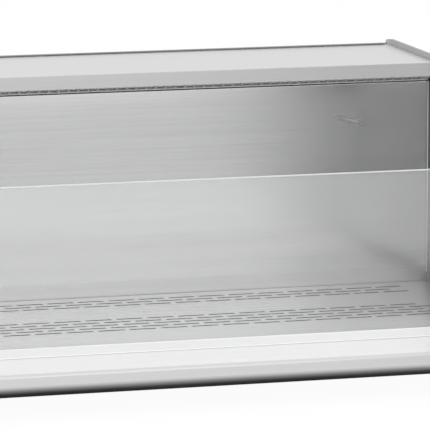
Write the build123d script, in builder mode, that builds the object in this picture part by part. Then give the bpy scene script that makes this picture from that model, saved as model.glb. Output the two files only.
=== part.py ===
from build123d import *
import os
from math import atan2, cos, degrees, radians, sin, tan

os.makedirs("parts", exist_ok=True)

# Countertop refrigerated display case: a shallow glazed well in front, a refrigeration housing behind.
# Millimetres, front faces -Y, +Z up, origin on the surface it stands on, at the middle of its outline.

# Overall sizes, read from the deck surface and from the face of the back wall
width = 1300.0                 # outside one side glass to outside the other
ledge_reach = 72.0             # front glass to the nose of the base
housing_reach = 217.0          # back wall to the rear cover
glass_overhang = 18.0          # side glass standing past the rear cover as a wall spacer
foot_height = 30.0
base_height = 50.0             # underside of the base to the deck surface
top_height = 367.4             # deck surface to the top cover
top_overhang = 32.0            # fascia ahead of the back wall
fascia_height = 24.0
glass_rim = 7.0                # side glass standing above the top cover

# Glass
side_glass_t = 10.0
front_glass_t = 8.0
front_glass_top = 256.0
well_depth = 426.0             # back wall to the inner face of the front glass
side_glass_corner = 14.0
side_glass_nose = 40.0         # radius where the side glass drops to the front glass
side_glass_slope_run = 300.0   # how far ahead of the fascia its top edge slopes down

# Sheets, seals and clearances
sheet = 1.2
front_skin_t = 1.5
deck_t = 1.5
liner_t = 1.0
gasket_t = 2.0
gasket_inner = 1.5             # gasket between the channel and the inner face of the glass
gasket_foot = 1.5
seat_gap = 0.3                 # between curved or loosely seated faces
lift_gap = 1.0                 # round the lift-out deck
shaft_gap = 0.05               # radial running clearance of a shaft

# Base front
lip_height = 12.0              # top of the glass channel above the deck
nose_drop = 14.2               # nose of the front panel below the deck
lip_run = 24.7                 # level length of the channel lip
lip_t = 2.2
channel_foot = 8.0             # glass channel web below the deck surface
channel_wall = 2.5
channel_step = 2.5             # inner wall of the channel below its lip
channel_edge = 1.2             # rounded edges of the lip
joint_gap = 1.4                # shadow line between the channel and the front panel
joint_fold = 6.0               # panel and lip turned down into the shadow line
joint_bend = 1.5
nose_radius = 6.0
belly_radius = 19.0
panel_return = 34.0            # flat strip of the front panel under the base

# Deck slots
slot_pitch = 50.0
slot_length = 40.0
slot_width = 4.5
slot_rows_rear = 3
slot_rows_front = 5
row_pitch = 21.2
rear_row_at = 38.2             # first rear row ahead of the back wall
front_row_at = 192.3           # first front row ahead of the back wall
slot_end_margin = 60.0         # side glass to the last slot of an outer row
deck_flange = 8.0

# Well liner and bearers
plenum_depth = 25.0            # deck surface to the liner floor
bearer_width = 24.0
bearer_count = 4
bearer_inset = 140.0           # side glass to the outer bearers

# Back wall and cold duct
outlet_drop = 34.4             # top of the case to the upper edge of the back wall
wall_hem = 4.8
wall_hem_drop = 9.0
duct_depth = 75.0
grille_t = 2.5
grille_pitch = 16.0
grille_bar = 4.0
grille_rim = 3.5
foam_t = 25.0
foam_under = 2.0               # foam below the front panel
top_foam_t = 16.0
rear_turn = 15.0               # top cover turned down behind
fascia_hem = 8.0               # fascia turned back under itself
fascia_hem_rise = 5.0

# Side rails and ends
rail_t = 2.5
rail_height = 14.0
rail_foot = 4.5
rail_foot_t = 2.0
glass_seat = 10.0              # side glass foot below the deck surface
end_plate_t = 3.0
housing_end_t = 2.0

# Cross-flow blower
rotor_r = 28.0
rotor_blades = 22
rotor_blade_t = 1.6
rotor_blade_w = 9.0
rotor_disc_t = 2.0
rotor_length = 470.0
blower_shaft_r = 4.0
blower_motor_r = 26.0
blower_motor_l = 96.0
scroll_under = 1.0             # scroll below the top foam
scroll_gap = 6.0
scroll_lip = 4.0               # scroll ahead of the back wall
blower_motor_gap = 6.0
blower_end_t = 6.0
blower_foot_w = 14.0

# Evaporator and condenser
fin_t = 0.6
evap_end_room = 110.0          # side glass to the last fin
evap_pitch = 10.0
evap_depth = 50.0
evap_height = 110.0
evap_bottom = 85.0
evap_tail = 22.0               # tube ends standing past the plates
coil_plate_rim = 8.0
evap_tube_r = 5.0
evap_tube_rows = 3
evap_tube_rise = 36.0
evap_tube_spread = 25.0
cond_pitch = 5.0
cond_length = 44.0
cond_height = 150.0
cond_x = 150.0
cond_tube_r = 4.0
cond_tube_rows = 3
cond_tube_rise = 46.0
cond_tube_spread = 22.0
cond_tube_reach = 92.0
cond_stand = 6.0
cond_tail = 32.0
coil_plate_t = 1.5

# Condenser fan
fan_r = 50.0
fan_hub_r = 18.0
fan_hub_t = 16.0
fan_blades = 5
fan_blade_t = 1.6
fan_blade_w = 34.0
fan_pitch = 32.0               # degrees of blade twist off the fan plane
fan_tip_gap = 3.0
shroud_t = 2.0
shroud_depth = 22.0
fan_arm_w = 7.0
fan_arm_t = 3.0
fan_arm_gap = 8.0              # hub to the arms of the motor
fan_motor_r = 17.0
fan_motor_l = 32.0
fan_shaft_r = 3.0

# Compressor
comp_x = -90.0
comp_r = 46.0
comp_height = 150.0
comp_dome = 22.0
comp_plate_t = 3.0
comp_mount_r = 9.0
comp_mount_h = 11.0
comp_plate_l = 136.0
comp_plate_w = 100.0
comp_stub_r = 5.5
comp_stub_up = 12.0
comp_stub_at = 20.0
terminal_l = 26.0
terminal_w = 44.0
terminal_h = 52.0
terminal_up = 40.0
pipe_r = 4.0
pipe_bend = 14.0
capillary_r = 1.5
drier_r = 10.0
drier_length = 62.0

# Drain and cable entry
drain_r = 8.0
drain_wall = 2.5
drain_spigot_r = 7.0           # turned-down end that a hose slips over
drain_shoulder = 2.0           # rear cover to the shoulder the hose stops at
drain_inset = 80.0             # side glass to the drain, and to the gland on the other side
drain_reach = 14.0
drain_bend = 12.0
drain_up = 10.8                # drain axis above the pan
drain_drop = 15.0              # duct partition to the drain hole
gland_up = 24.0                # gland axis above the underside of the base
gland_r = 11.0
gland_bore_r = 4.5
gland_shank_r = 8.0
gland_reach = 14.0
gland_inside = 12.0

# Louvres of the rear cover
louvre_length = 100.0
louvre_slot = 6.0
louvre_lift = 6.0
louvre_pitch = 22.0
louvre_rows = 8
louvre_columns = 2
louvre_gap = 16.0
louvre_intake_x = 330.0
louvre_outlet_x = -400.0

# Controls on the rear cover
bezel_w = 140.0
bezel_h = 46.0
bezel_t = 9.0
bezel_wall = 3.0
bezel_x = -60.0
bezel_drop = 67.4              # top of the case to the middle of the bezel
bezel_corner = 6.0
window_off = -41.0             # places on the bezel, from its middle
button_off = -9.0
rocker_off = 55.0
window_w = 44.0
window_h = 26.0
button_r = 5.0
button_proud = 1.6
button_travel = 1.2
button_flange = 1.4
button_gap = 0.35
button_pitch = 15.0
rocker_w = 13.0
rocker_h = 21.0
rocker_tilt = 8.0
rocker_gap = 0.5
rocker_axle_r = 1.5
frame_wall = 1.0
frame_rim = 1.2
frame_depth = 12.0
box_depth = 60.0
board_t = 1.6
board_w = 106.0
board_h = 30.0
board_off = -11.0
board_post = 6.0

# Feet
foot_pad_r = 20.0
foot_pad_t = 9.0
foot_neck_r = 8.0
foot_stem_r = 5.0
foot_nut_t = 6.0
foot_inset = 70.0
foot_front = 420.0
foot_rear = -160.0

# Temperature probe on the back wall
probe_r = 3.0
probe_length = 52.0
probe_tilt = 15.0              # degrees down towards the right
probe_from_glass = 134.0       # side glass to the middle of the probe
probe_up = 272.0
clip_w = 9.0
clip_wall = 1.2
clip_pitch = 34.0

# Derived places
half = width / 2
inner = half - side_glass_t
deck_z = foot_height + base_height
base_z = foot_height
lip_at = well_depth + front_glass_t + gasket_t
front_reach = lip_at + ledge_reach
depth = front_reach + housing_reach + glass_overhang
wall_y = front_reach - depth / 2
rear_y = wall_y + housing_reach
drain_x = inner - drain_inset
gland_x = drain_inset - inner
bearer_spread = 2 * (inner - bearer_inset)
joint_at = lip_at + lip_run
slope = (lip_height + nose_drop) / ledge_reach
end_half = half - end_plate_t
cover_half = inner - 0.5
deck_half = inner - rail_t - lift_gap
floor_z = deck_z - plenum_depth
pan_top = base_z + sheet
top_z = deck_z + top_height
bezel_z = top_z - bezel_drop
seat_z = deck_z - glass_seat
liner_half = inner - 4.0
liner_top = seat_z
channel_inner = well_depth - gasket_inner - channel_wall
deck_front = channel_inner - lift_gap * 2
deck_rear = 3.0
bay_front_y = wall_y + duct_depth + foam_t
drain_axis_z = base_z + sheet + drain_up
drain_drop_y = wall_y + duct_depth - drain_drop
bay_y = (bay_front_y + rear_y - sheet) / 2
duct_back_y = wall_y + duct_depth
wall_top = top_height - outlet_drop


def y_at(ahead):
    """Y of a place a given distance ahead of the back wall."""
    return wall_y - ahead


def at(ahead, above):
    """Point of a side profile: distance ahead of the back wall, height above the deck."""
    return (y_at(ahead), deck_z + above)


def slope_height(ahead):
    """Height above the deck of the sloping face ahead of the glass."""
    return lip_height - (ahead - lip_at) * slope


# Base pan: folded tray that carries the foam, the machinery and the feet
pan_front = front_reach - belly_radius - panel_return
pan_rise = base_height - 2.0
with BuildPart() as base_pan:
    with BuildSketch(Plane.XY.offset(base_z)):
        with Locations((0, (y_at(pan_front) + rear_y) / 2)):
            Rectangle(2 * end_half, rear_y - y_at(pan_front))
    extrude(amount=pan_rise)
    with BuildSketch(Plane.XY.offset(pan_top)):
        with Locations((0, (y_at(pan_front) + rear_y - sheet) / 2)):
            Rectangle(2 * (end_half - sheet), rear_y - sheet - y_at(pan_front))
    extrude(amount=pan_rise, mode=Mode.SUBTRACT)
    # both sides stop at the seat of the side glasses
    with BuildSketch(Plane.XY.offset(seat_z - liner_t)):
        with Locations((cover_half + 10, 0), (-cover_half - 10, 0)):
            Rectangle(20, 2 * depth)
    extrude(amount=pan_rise, mode=Mode.SUBTRACT)
    with BuildSketch(Plane.XY.offset(base_z)):
        for y in (y_at(foot_front), y_at(foot_rear)):
            with Locations((half - foot_inset, y), (foot_inset - half, y)):
                Circle(foot_stem_r + seat_gap)
    extrude(amount=sheet, mode=Mode.SUBTRACT)
    with BuildSketch(Plane.XZ.offset(-rear_y)):
        with Locations((drain_x, drain_axis_z)):
            Circle(drain_r + seat_gap)
        with Locations((gland_x, base_z + gland_up)):
            Circle(gland_shank_r + seat_gap)
    extrude(amount=sheet, mode=Mode.SUBTRACT)
base_pan.part.label = "base_pan"
export_step(base_pan.part, "parts/base_pan.step")

# Front panel: one folded skin, sloping ledge, rounded nose and large belly under
panel_top = joint_at + joint_gap
nose_z = slope_height(front_reach)
panel_path = [
    at(panel_top, slope_height(panel_top) - joint_fold),
    at(panel_top, slope_height(panel_top)),
    at(front_reach, nose_z),
    at(front_reach, -base_height),
    at(pan_front, -base_height),
]
with BuildPart() as front_panel:
    with BuildSketch(Plane.YZ.offset(-end_half)):
        with BuildLine():
            FilletPolyline(*panel_path, radius=[joint_bend, nose_radius, belly_radius])
            offset(amount=front_skin_t, side=Side.LEFT)
        make_face()
    extrude(amount=2 * end_half)
front_panel.part.label = "front_panel"
export_step(front_panel.part, "parts/front_panel.step")

# Base foam: one block under the liner, thick at the front and along both sides
liner_front = well_depth - channel_wall - 2.5
with BuildPart() as base_foam:
    with BuildSketch(Plane.YZ.offset(-(end_half - sheet))):
        with BuildLine():
            Polyline(
                (bay_front_y, pan_top),
                (y_at(pan_front), pan_top),
                (y_at(pan_front), base_z + front_skin_t + seat_gap),
                (y_at(front_reach - belly_radius), base_z + front_skin_t + seat_gap),
                (y_at(front_reach - 8), base_z + front_skin_t + 6),
                (y_at(front_reach - 2.5), base_z + belly_radius),
                at(front_reach - 3.5, nose_z - 4),
                at(panel_top + foam_under, slope_height(panel_top + foam_under) - foam_under),
                at(panel_top + foam_under, -channel_foot - liner_t),
                at(liner_front + liner_t, -channel_foot - liner_t),
                (y_at(liner_front + liner_t), floor_z - liner_t),
                (bay_front_y, floor_z - liner_t),
                close=True,
            )
        make_face()
    extrude(amount=2 * (end_half - sheet))
    # side walls of the foam, outside the liner
    with BuildSketch(Plane.XY.offset(pan_top)):
        wall_w = end_half - sheet - liner_half
        length = bay_front_y - y_at(liner_front + liner_t)
        mid_y = (bay_front_y + y_at(liner_front + liner_t)) / 2
        with Locations((liner_half + wall_w / 2, mid_y), (-liner_half - wall_w / 2, mid_y)):
            Rectangle(wall_w, length)
    extrude(amount=liner_top - liner_t - pan_top)
    # channel that the drain pipe runs out through
    with BuildSketch(Plane.XY.offset(pan_top)):
        with Locations((drain_x, (drain_drop_y - drain_r - 1 + bay_front_y) / 2)):
            Rectangle(2 * (drain_r + 1), bay_front_y - drain_drop_y + drain_r + 1)
    extrude(amount=floor_z - pan_top, mode=Mode.SUBTRACT)
base_foam.part.label = "base_foam"
export_step(base_foam.part, "parts/base_foam.step")

# Well liner: the shallow tank under the deck, also the air return to the coil
with BuildPart() as well_liner:
    with BuildSketch(Plane.XY.offset(floor_z - liner_t)):
        with Locations((0, (y_at(liner_front + liner_t) + duct_back_y) / 2)):
            Rectangle(2 * liner_half, duct_back_y - y_at(liner_front + liner_t))
    extrude(amount=liner_top - floor_z + liner_t)
    with BuildSketch(Plane.XY.offset(floor_z)):
        with Locations((0, (y_at(liner_front) + duct_back_y - liner_t) / 2)):
            Rectangle(2 * (liner_half - liner_t), duct_back_y - liner_t - y_at(liner_front))
    extrude(amount=plenum_depth, mode=Mode.SUBTRACT)
    # flanges that the side glasses stand on
    with BuildSketch(Plane.XY.offset(liner_top - liner_t)):
        flange = end_half - liner_half + liner_t
        with Locations(
            (liner_half - liner_t + flange / 2, (y_at(liner_front) + duct_back_y) / 2),
            (-liner_half + liner_t - flange / 2, (y_at(liner_front) + duct_back_y) / 2),
        ):
            Rectangle(flange, duct_back_y - y_at(liner_front))
    extrude(amount=liner_t)
    # flange under the glass channel
    with BuildSketch(Plane.XY.offset(deck_z - channel_foot - liner_t)):
        with Locations((0, y_at(liner_front + 10))):
            Rectangle(2 * liner_half, 20)
    extrude(amount=liner_t)
    with BuildSketch(Plane.XY.offset(floor_z - liner_t)):
        with Locations((0, y_at(liner_front + liner_t / 2))):
            Rectangle(2 * liner_half, liner_t)
    extrude(amount=plenum_depth - channel_foot)
    with BuildSketch(Plane.XY.offset(floor_z - liner_t)):
        with Locations((drain_x, drain_drop_y)):
            Circle(drain_r + seat_gap)
    extrude(amount=liner_t, mode=Mode.SUBTRACT)
well_liner.part.label = "well_liner"
export_step(well_liner.part, "parts/well_liner.step")

# Drain pipe: from the liner floor through the base and out at the back as a hose spigot
drain_path = [
    (drain_x, drain_drop_y, floor_z),
    (drain_x, drain_drop_y, drain_axis_z),
    (drain_x, rear_y + drain_shoulder, drain_axis_z),
]
with BuildPart() as drain_pipe:
    with BuildLine():
        FilletPolyline(*drain_path, radius=drain_bend - 0.5)
    with BuildSketch(Plane(drain_path[0], z_dir=(0, 0, -1))):
        Circle(drain_r)
        Circle(drain_r - drain_wall, mode=Mode.SUBTRACT)
    sweep()
    with BuildSketch(Plane.XZ.offset(-rear_y - drain_shoulder)):
        with Locations((drain_x, drain_axis_z)):
            Circle(drain_spigot_r)
            Circle(drain_r - drain_wall, mode=Mode.SUBTRACT)
    extrude(amount=-drain_reach)
drain_pipe.part.label = "drain_pipe"
export_step(drain_pipe.part, "parts/drain_pipe.step")

# Cable gland: where a mains lead would enter, beside the machinery
with BuildPart() as cable_gland:
    with BuildSketch(Plane.XZ.offset(-rear_y)):
        with Locations((gland_x, base_z + gland_up)):
            Circle(gland_r)
    extrude(amount=-gland_reach)
    chamfer(cable_gland.edges().filter_by(GeomType.CIRCLE).sort_by(Axis.Y)[-1], 2.0)
    with BuildSketch(Plane.XZ.offset(-rear_y)):
        with Locations((gland_x, base_z + gland_up)):
            Circle(gland_shank_r)
    extrude(amount=gland_inside)
    with BuildSketch(Plane.XZ.offset(sheet - rear_y)):
        with Locations((gland_x, base_z + gland_up)):
            RegularPolygon(gland_r, 6)
    extrude(amount=4)
    with BuildSketch(Plane.XZ.offset(gland_inside - rear_y)):
        with Locations((gland_x, base_z + gland_up)):
            Circle(gland_bore_r)
    extrude(amount=-(gland_inside + gland_reach), mode=Mode.SUBTRACT)
cable_gland.part.label = "cable_gland"
export_step(cable_gland.part, "parts/cable_gland.step")

# Deck bearers: inverted channels running front to back, open ends to the air stream
with BuildPart() as deck_bearers:
    bearer_h = plenum_depth - deck_t
    with BuildSketch(Plane.XZ.offset(-(duct_back_y - 8))):
        with GridLocations(bearer_spread / (bearer_count - 1), 0, bearer_count, 1):
            with Locations((0, floor_z + bearer_h / 2)):
                Rectangle(bearer_width, bearer_h)
            with Locations((0, floor_z + (bearer_h - deck_t) / 2)):
                Rectangle(bearer_width - 2 * deck_t, bearer_h - deck_t, mode=Mode.SUBTRACT)
    extrude(amount=duct_back_y - 8 - y_at(deck_front - 6))
    # notch for the rear flange of the deck
    with BuildSketch(Plane.XY.offset(deck_z - deck_flange - lift_gap)):
        with Locations((0, y_at(deck_rear + deck_t / 2))):
            Rectangle(bearer_spread + 2 * bearer_width, deck_t + 2 * lift_gap)
    extrude(amount=deck_flange + lift_gap, mode=Mode.SUBTRACT)
deck_bearers.part.label = "deck_bearers"
export_step(deck_bearers.part, "parts/deck_bearers.step")

# Display deck: one lift-out tray turned down all round, with staggered air slots
outer_row = 2 * (inner - slot_end_margin) - slot_length
columns = int(outer_row / slot_pitch) + 1
outer_shift = inner - slot_end_margin - slot_length / 2
with BuildPart() as display_deck:
    with BuildSketch(Plane.XY.offset(deck_z - deck_flange)):
        with Locations((0, (y_at(deck_front) + y_at(deck_rear)) / 2)):
            Rectangle(2 * deck_half, deck_front - deck_rear)
    extrude(amount=deck_flange)
    with BuildSketch(Plane.XY.offset(deck_z - deck_flange)):
        with Locations((0, (y_at(deck_front) + y_at(deck_rear)) / 2)):
            Rectangle(2 * (deck_half - deck_t), deck_front - deck_rear - 2 * deck_t)
    extrude(amount=deck_flange - deck_t, mode=Mode.SUBTRACT)
    with BuildSketch(Plane.XY.offset(deck_z - deck_t)):
        for row in range(slot_rows_rear):
            inset = (row % 2) * slot_pitch / 2
            last = outer_shift - inset
            count = columns - row % 2
            with Locations((last - (count - 1) * slot_pitch / 2, y_at(rear_row_at + row * row_pitch))):
                with GridLocations(slot_pitch, 0, count, 1):
                    Rectangle(slot_length, slot_width)
        for row in range(slot_rows_front):
            inset = ((row + 1) % 2) * slot_pitch / 2
            last = outer_shift - inset
            count = columns - (row + 1) % 2
            with Locations((last - (count - 1) * slot_pitch / 2, y_at(front_row_at + row * row_pitch))):
                with GridLocations(slot_pitch, 0, count, 1):
                    Rectangle(slot_length, slot_width)
    extrude(amount=deck_t, mode=Mode.SUBTRACT)
display_deck.part.label = "display_deck"
export_step(display_deck.part, "parts/display_deck.step")

# Glass channel: holds the foot of the front glass, its lip slopes on to the front panel
with BuildPart() as glass_channel:
    with BuildSketch(Plane.YZ.offset(-end_half)):
        with BuildLine():
            Polyline(
                at(lip_at, lip_height),
                at(joint_at, slope_height(joint_at)),
                at(joint_at, slope_height(joint_at) - joint_fold),
                at(joint_at - lip_t, slope_height(joint_at) - joint_fold),
                at(joint_at - lip_t, slope_height(joint_at - lip_t) - lip_t),
                at(lip_at + channel_wall, slope_height(lip_at + channel_wall) - lip_t),
                at(lip_at + channel_wall, -channel_foot),
                at(channel_inner, -channel_foot),
                at(channel_inner, lip_height - channel_step),
                at(channel_inner + channel_wall, lip_height - channel_step),
                at(channel_inner + channel_wall, channel_wall - channel_foot),
                at(lip_at, channel_wall - channel_foot),
                close=True,
            )
        make_face()
    extrude(amount=2 * end_half)
    long_edges = glass_channel.edges().filter_by(Axis.X)
    fillet(long_edges.group_by(Axis.Z)[-1] + [long_edges.group_by(Axis.Y)[0].sort_by(Axis.Z)[-1]], channel_edge)
glass_channel.part.label = "glass_channel"
export_step(glass_channel.part, "parts/glass_channel.step")

# Glass gasket: soft U strip round the foot of the front glass
gasket_z = channel_wall - channel_foot
with BuildPart() as glass_gasket:
    with BuildSketch(Plane.YZ.offset(-(inner - 1.5))):
        with BuildLine():
            Polyline(
                at(channel_inner + channel_wall, gasket_z),
                at(channel_inner + channel_wall, lip_height - 3),
                at(well_depth, lip_height - 3),
                at(well_depth, gasket_z + gasket_foot),
                at(well_depth + front_glass_t, gasket_z + gasket_foot),
                at(well_depth + front_glass_t, lip_height - 0.5),
                at(lip_at, lip_height - 0.5),
                at(lip_at, gasket_z),
                close=True,
            )
        make_face()
    extrude(amount=2 * (inner - 1.5))
glass_gasket.part.label = "glass_gasket"
export_step(glass_gasket.part, "parts/glass_gasket.step")

# Front glass: a low upright pane with a polished top edge
with BuildPart() as front_glass:
    glass_low = gasket_z + gasket_foot
    with BuildSketch(Plane.XY.offset(deck_z + glass_low)):
        with Locations((0, y_at(well_depth + front_glass_t / 2))):
            Rectangle(2 * (inner - 1.5), front_glass_t)
    extrude(amount=front_glass_top - glass_low)
    chamfer(front_glass.edges().filter_by(Axis.X).group_by(Axis.Z)[-1], 0.8)
front_glass.part.label = "front_glass"
export_step(front_glass.part, "parts/front_glass.step")

# Side glasses: full depth, standing proud of the top, sloping down to the front glass
side_top = top_height + glass_rim
glass_nose = well_depth + front_glass_t
side_path = [
    at(-housing_reach - glass_overhang, -glass_seat),
    at(-housing_reach - glass_overhang, side_top),
    at(glass_nose - side_glass_slope_run, side_top),
    at(glass_nose, front_glass_top),
    at(glass_nose, -glass_seat),
]
side_radii = [side_glass_corner, side_glass_nose, side_glass_nose]
for name, left_x in (("side_glass_left", -half), ("side_glass_right", inner)):
    with BuildPart() as side_glass:
        with BuildSketch(Plane.YZ.offset(left_x)):
            with BuildLine():
                upper = FilletPolyline(*side_path, radius=side_radii)
                Line(upper @ 1, upper @ 0)
            make_face()
        extrude(amount=side_glass_t)
        # the foot is cut away where the front profile passes under it
        with BuildSketch(Plane.YZ.offset(left_x)):
            with BuildLine():
                Polyline(
                    at(channel_inner - 0.5, -glass_seat - 1),
                    at(channel_inner - 0.5, lip_height + 0.3),
                    at(glass_nose + 1, lip_height + 0.3),
                    at(glass_nose + 1, -glass_seat - 1),
                    close=True,
                )
            make_face()
        extrude(amount=side_glass_t, mode=Mode.SUBTRACT)
    side_glass.part.label = name
    export_step(side_glass.part, "parts/" + name + ".step")

# Base ends: moulded plates that close the base profile at both sides
end_path = [
    at(-housing_reach, -glass_seat),
    at(channel_inner - 0.5, -glass_seat),
    at(channel_inner - 0.5, lip_height),
    at(lip_at, lip_height),
    at(front_reach, nose_z),
    at(front_reach, -base_height),
    at(-housing_reach, -base_height),
]
end_radii = [0, 0, 0, nose_radius, belly_radius]
for name, left_x in (("base_end_left", -half), ("base_end_right", end_half)):
    with BuildPart() as base_end:
        with BuildSketch(Plane.YZ.offset(left_x)):
            with BuildLine():
                rim = FilletPolyline(*end_path, radius=end_radii)
                Line(rim @ 1, rim @ 0)
            make_face()
        extrude(amount=end_plate_t)
    base_end.part.label = name
    export_step(base_end.part, "parts/" + name + ".step")

# Side rails: dark angles along the foot of each side glass
for name, side in (("side_rail_left", -1), ("side_rail_right", 1)):
    with BuildPart() as side_rail:
        rail_length = channel_inner - 1.0 - deck_rear
        with BuildSketch(Plane.XY.offset(seat_z)):
            with Locations((side * (inner - rail_t / 2), y_at(deck_rear + rail_length / 2))):
                Rectangle(rail_t, rail_length)
        extrude(amount=glass_seat + rail_height)
        with BuildSketch(Plane.XY.offset(seat_z)):
            with Locations((side * (inner - rail_foot / 2), y_at(deck_rear + rail_length / 2))):
                Rectangle(rail_foot, rail_length)
        extrude(amount=rail_foot_t)
    side_rail.part.label = name
    export_step(side_rail.part, "parts/" + name + ".step")

# Back wall: brushed sheet of the well, its top edge hemmed towards the duct
wall_foot = -deck_t
with BuildPart() as back_wall:
    with BuildSketch(Plane.YZ.offset(-cover_half)):
        with BuildLine():
            FilletPolyline(
                at(0, wall_foot),
                at(0, wall_top),
                at(-wall_hem, wall_top),
                at(-wall_hem, wall_top - wall_hem_drop),
                radius=[wall_hem / 2 - 0.05, wall_hem / 2 - 0.05],
            )
            offset(amount=sheet, side=Side.RIGHT)
        make_face()
    extrude(amount=2 * cover_half)
back_wall.part.label = "back_wall"
export_step(back_wall.part, "parts/back_wall.step")

# Duct foam: insulated partition between the cold duct and the machinery
evap_length = 2 * (inner - evap_end_room)
evap_y = wall_y + duct_depth / 2
evap_z = deck_z + evap_bottom + evap_height / 2
evap_reach = evap_length + 2 * evap_tail
pipes_x = -evap_reach / 2 - 30
suction_z = evap_z + evap_tube_rise
liquid_z = evap_z - evap_tube_rise
with BuildPart() as duct_foam:
    foam_top = top_z - sheet - top_foam_t
    with BuildSketch(Plane.XY.offset(floor_z - liner_t)):
        with Locations((0, duct_back_y + foam_t / 2)):
            Rectangle(2 * (inner - housing_end_t - 0.5), foam_t)
    extrude(amount=foam_top - floor_z + liner_t)
    with BuildSketch(Plane.XZ.offset(-duct_back_y)):
        with Locations((pipes_x, suction_z)):
            Circle(pipe_r + seat_gap)
        with Locations((pipes_x, liquid_z)):
            Circle(capillary_r + seat_gap)
    extrude(amount=-foam_t, mode=Mode.SUBTRACT)
    # relief round the outward wings of the liner and the foot of the partition
    with BuildSketch(Plane.XY.offset(floor_z - liner_t)):
        relief_y = duct_back_y + foam_t / 2
        with Locations((liner_half + 10, relief_y), (-liner_half - 10, relief_y)):
            Rectangle(20, foam_t)
    extrude(amount=liner_top - floor_z + liner_t, mode=Mode.SUBTRACT)
duct_foam.part.label = "duct_foam"
export_step(duct_foam.part, "parts/duct_foam.step")

# Top cover: one folded sheet, turned down behind and folded into the fascia in front
fascia_z = top_height - fascia_height
with BuildPart() as top_cover:
    with BuildSketch(Plane.YZ.offset(-cover_half)):
        with BuildLine():
            FilletPolyline(
                at(-housing_reach, top_height - rear_turn),
                at(-housing_reach, top_height),
                at(top_overhang, top_height),
                at(top_overhang, fascia_z),
                at(top_overhang - fascia_hem, fascia_z),
                at(top_overhang - fascia_hem, fascia_z + fascia_hem_rise),
                radius=[1.8, 1.8, 1.5, 1.5],
            )
            offset(amount=sheet, side=Side.LEFT)
        make_face()
    extrude(amount=2 * cover_half)
top_cover.part.label = "top_cover"
export_step(top_cover.part, "parts/top_cover.step")

# Top foam: slab over the cold duct, under the top cover
with BuildPart() as top_foam:
    with BuildSketch(Plane.XY.offset(top_z - sheet - top_foam_t)):
        front_y = y_at(top_overhang - fascia_hem - 2)
        with Locations((0, (front_y + bay_front_y) / 2)):
            Rectangle(2 * (inner - housing_end_t - 0.5), bay_front_y - front_y)
    extrude(amount=top_foam_t)
top_foam.part.label = "top_foam"
export_step(top_foam.part, "parts/top_foam.step")

# Outlet grille: slatted strip that closes the air outlet between the wall hem and the fascia
grille_low = (1.0, wall_top + 0.8)
grille_high = (top_overhang - fascia_hem - 0.6, fascia_z + 1.2)
grille_tilt = degrees(atan2(grille_high[1] - grille_low[1], grille_high[0] - grille_low[0]))
grille_run = grille_high[0] - grille_low[0]
grille_width = grille_run / cos(radians(grille_tilt))
grille_slots = int((2 * cover_half - 20) / grille_pitch)
grille_origin = at((grille_low[0] + grille_high[0]) / 2, (grille_low[1] + grille_high[1]) / 2)
grille_plane = Plane(
    origin=(0, grille_origin[0], grille_origin[1]),
    x_dir=(1, 0, 0),
    z_dir=(0, sin(radians(grille_tilt)), cos(radians(grille_tilt))),
)
with BuildPart() as outlet_grille:
    with BuildSketch(grille_plane):
        Rectangle(2 * (inner - housing_end_t - 1), grille_width)
        with GridLocations(grille_pitch, 0, grille_slots, 1):
            Rectangle(grille_pitch - grille_bar, grille_width - 2 * grille_rim, mode=Mode.SUBTRACT)
    extrude(amount=grille_t)
outlet_grille.part.label = "outlet_grille"
export_step(outlet_grille.part, "parts/outlet_grille.step")

# Housing ends: sheets inside the side glasses that close the duct and the machine bay
for name, left_x in (
    ("housing_end_left", -inner + 0.5),
    ("housing_end_right", inner - 0.5 - housing_end_t),
):
    with BuildPart() as housing_end:
        with BuildSketch(Plane.YZ.offset(left_x)):
            with BuildLine():
                Polyline(
                    (wall_y + wall_hem + 0.4, seat_z),
                    (wall_y + wall_hem + 0.4, top_z - sheet - 0.3),
                    (rear_y - sheet - 0.3, top_z - sheet - 0.3),
                    (rear_y - sheet - 0.3, seat_z),
                    close=True,
                )
            make_face()
        extrude(amount=housing_end_t)
    housing_end.part.label = name
    export_step(housing_end.part, "parts/" + name + ".step")

# Rear cover: flat sheet with two fields of pressed louvres and a cut-out behind the controls
cover_low = base_z + pan_rise
cover_high = top_z - rear_turn
cover_mid = (cover_low + cover_high) / 2
field_w = louvre_columns * louvre_length + (louvre_columns - 1) * louvre_gap
with BuildPart() as rear_cover:
    with BuildSketch(Plane.XZ.offset(-rear_y)):
        with Locations((0, cover_mid)):
            Rectangle(2 * cover_half, cover_high - cover_low)
        with Locations((bezel_x, bezel_z)):
            Rectangle(bezel_w - 12, bezel_h - 12, mode=Mode.SUBTRACT)
    extrude(amount=sheet)
    louvre_spots = [
        (x, cover_mid - 20)
        for x in (louvre_intake_x, louvre_outlet_x)
    ]
    with BuildSketch(Plane.XZ.offset(-rear_y)):
        with Locations(*louvre_spots):
            with GridLocations(louvre_length + louvre_gap, louvre_pitch, louvre_columns, louvre_rows):
                Rectangle(louvre_length - 2, louvre_slot)
    extrude(amount=sheet, mode=Mode.SUBTRACT)
    # hoods: wedge shells open downwards
    hood_rise = louvre_slot + 4
    for field_x, field_z in louvre_spots:
        for column in range(louvre_columns):
            start_x = field_x - field_w / 2 + column * (louvre_length + louvre_gap)
            with BuildSketch(Plane.YZ.offset(start_x)):
                for row in range(louvre_rows):
                    hood_z = field_z + (row - (louvre_rows - 1) / 2) * louvre_pitch
                    with BuildLine():
                        Polyline(
                            (rear_y, hood_z + hood_rise / 2 + 1),
                            (rear_y + louvre_lift, hood_z - louvre_slot / 2),
                            (rear_y + louvre_lift - 1.1, hood_z - louvre_slot / 2),
                            (rear_y, hood_z + hood_rise / 2 - 1.5),
                            close=True,
                        )
                    make_face()
            extrude(amount=louvre_length)
rear_cover.part.label = "rear_cover"
export_step(rear_cover.part, "parts/rear_cover.step")

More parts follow.
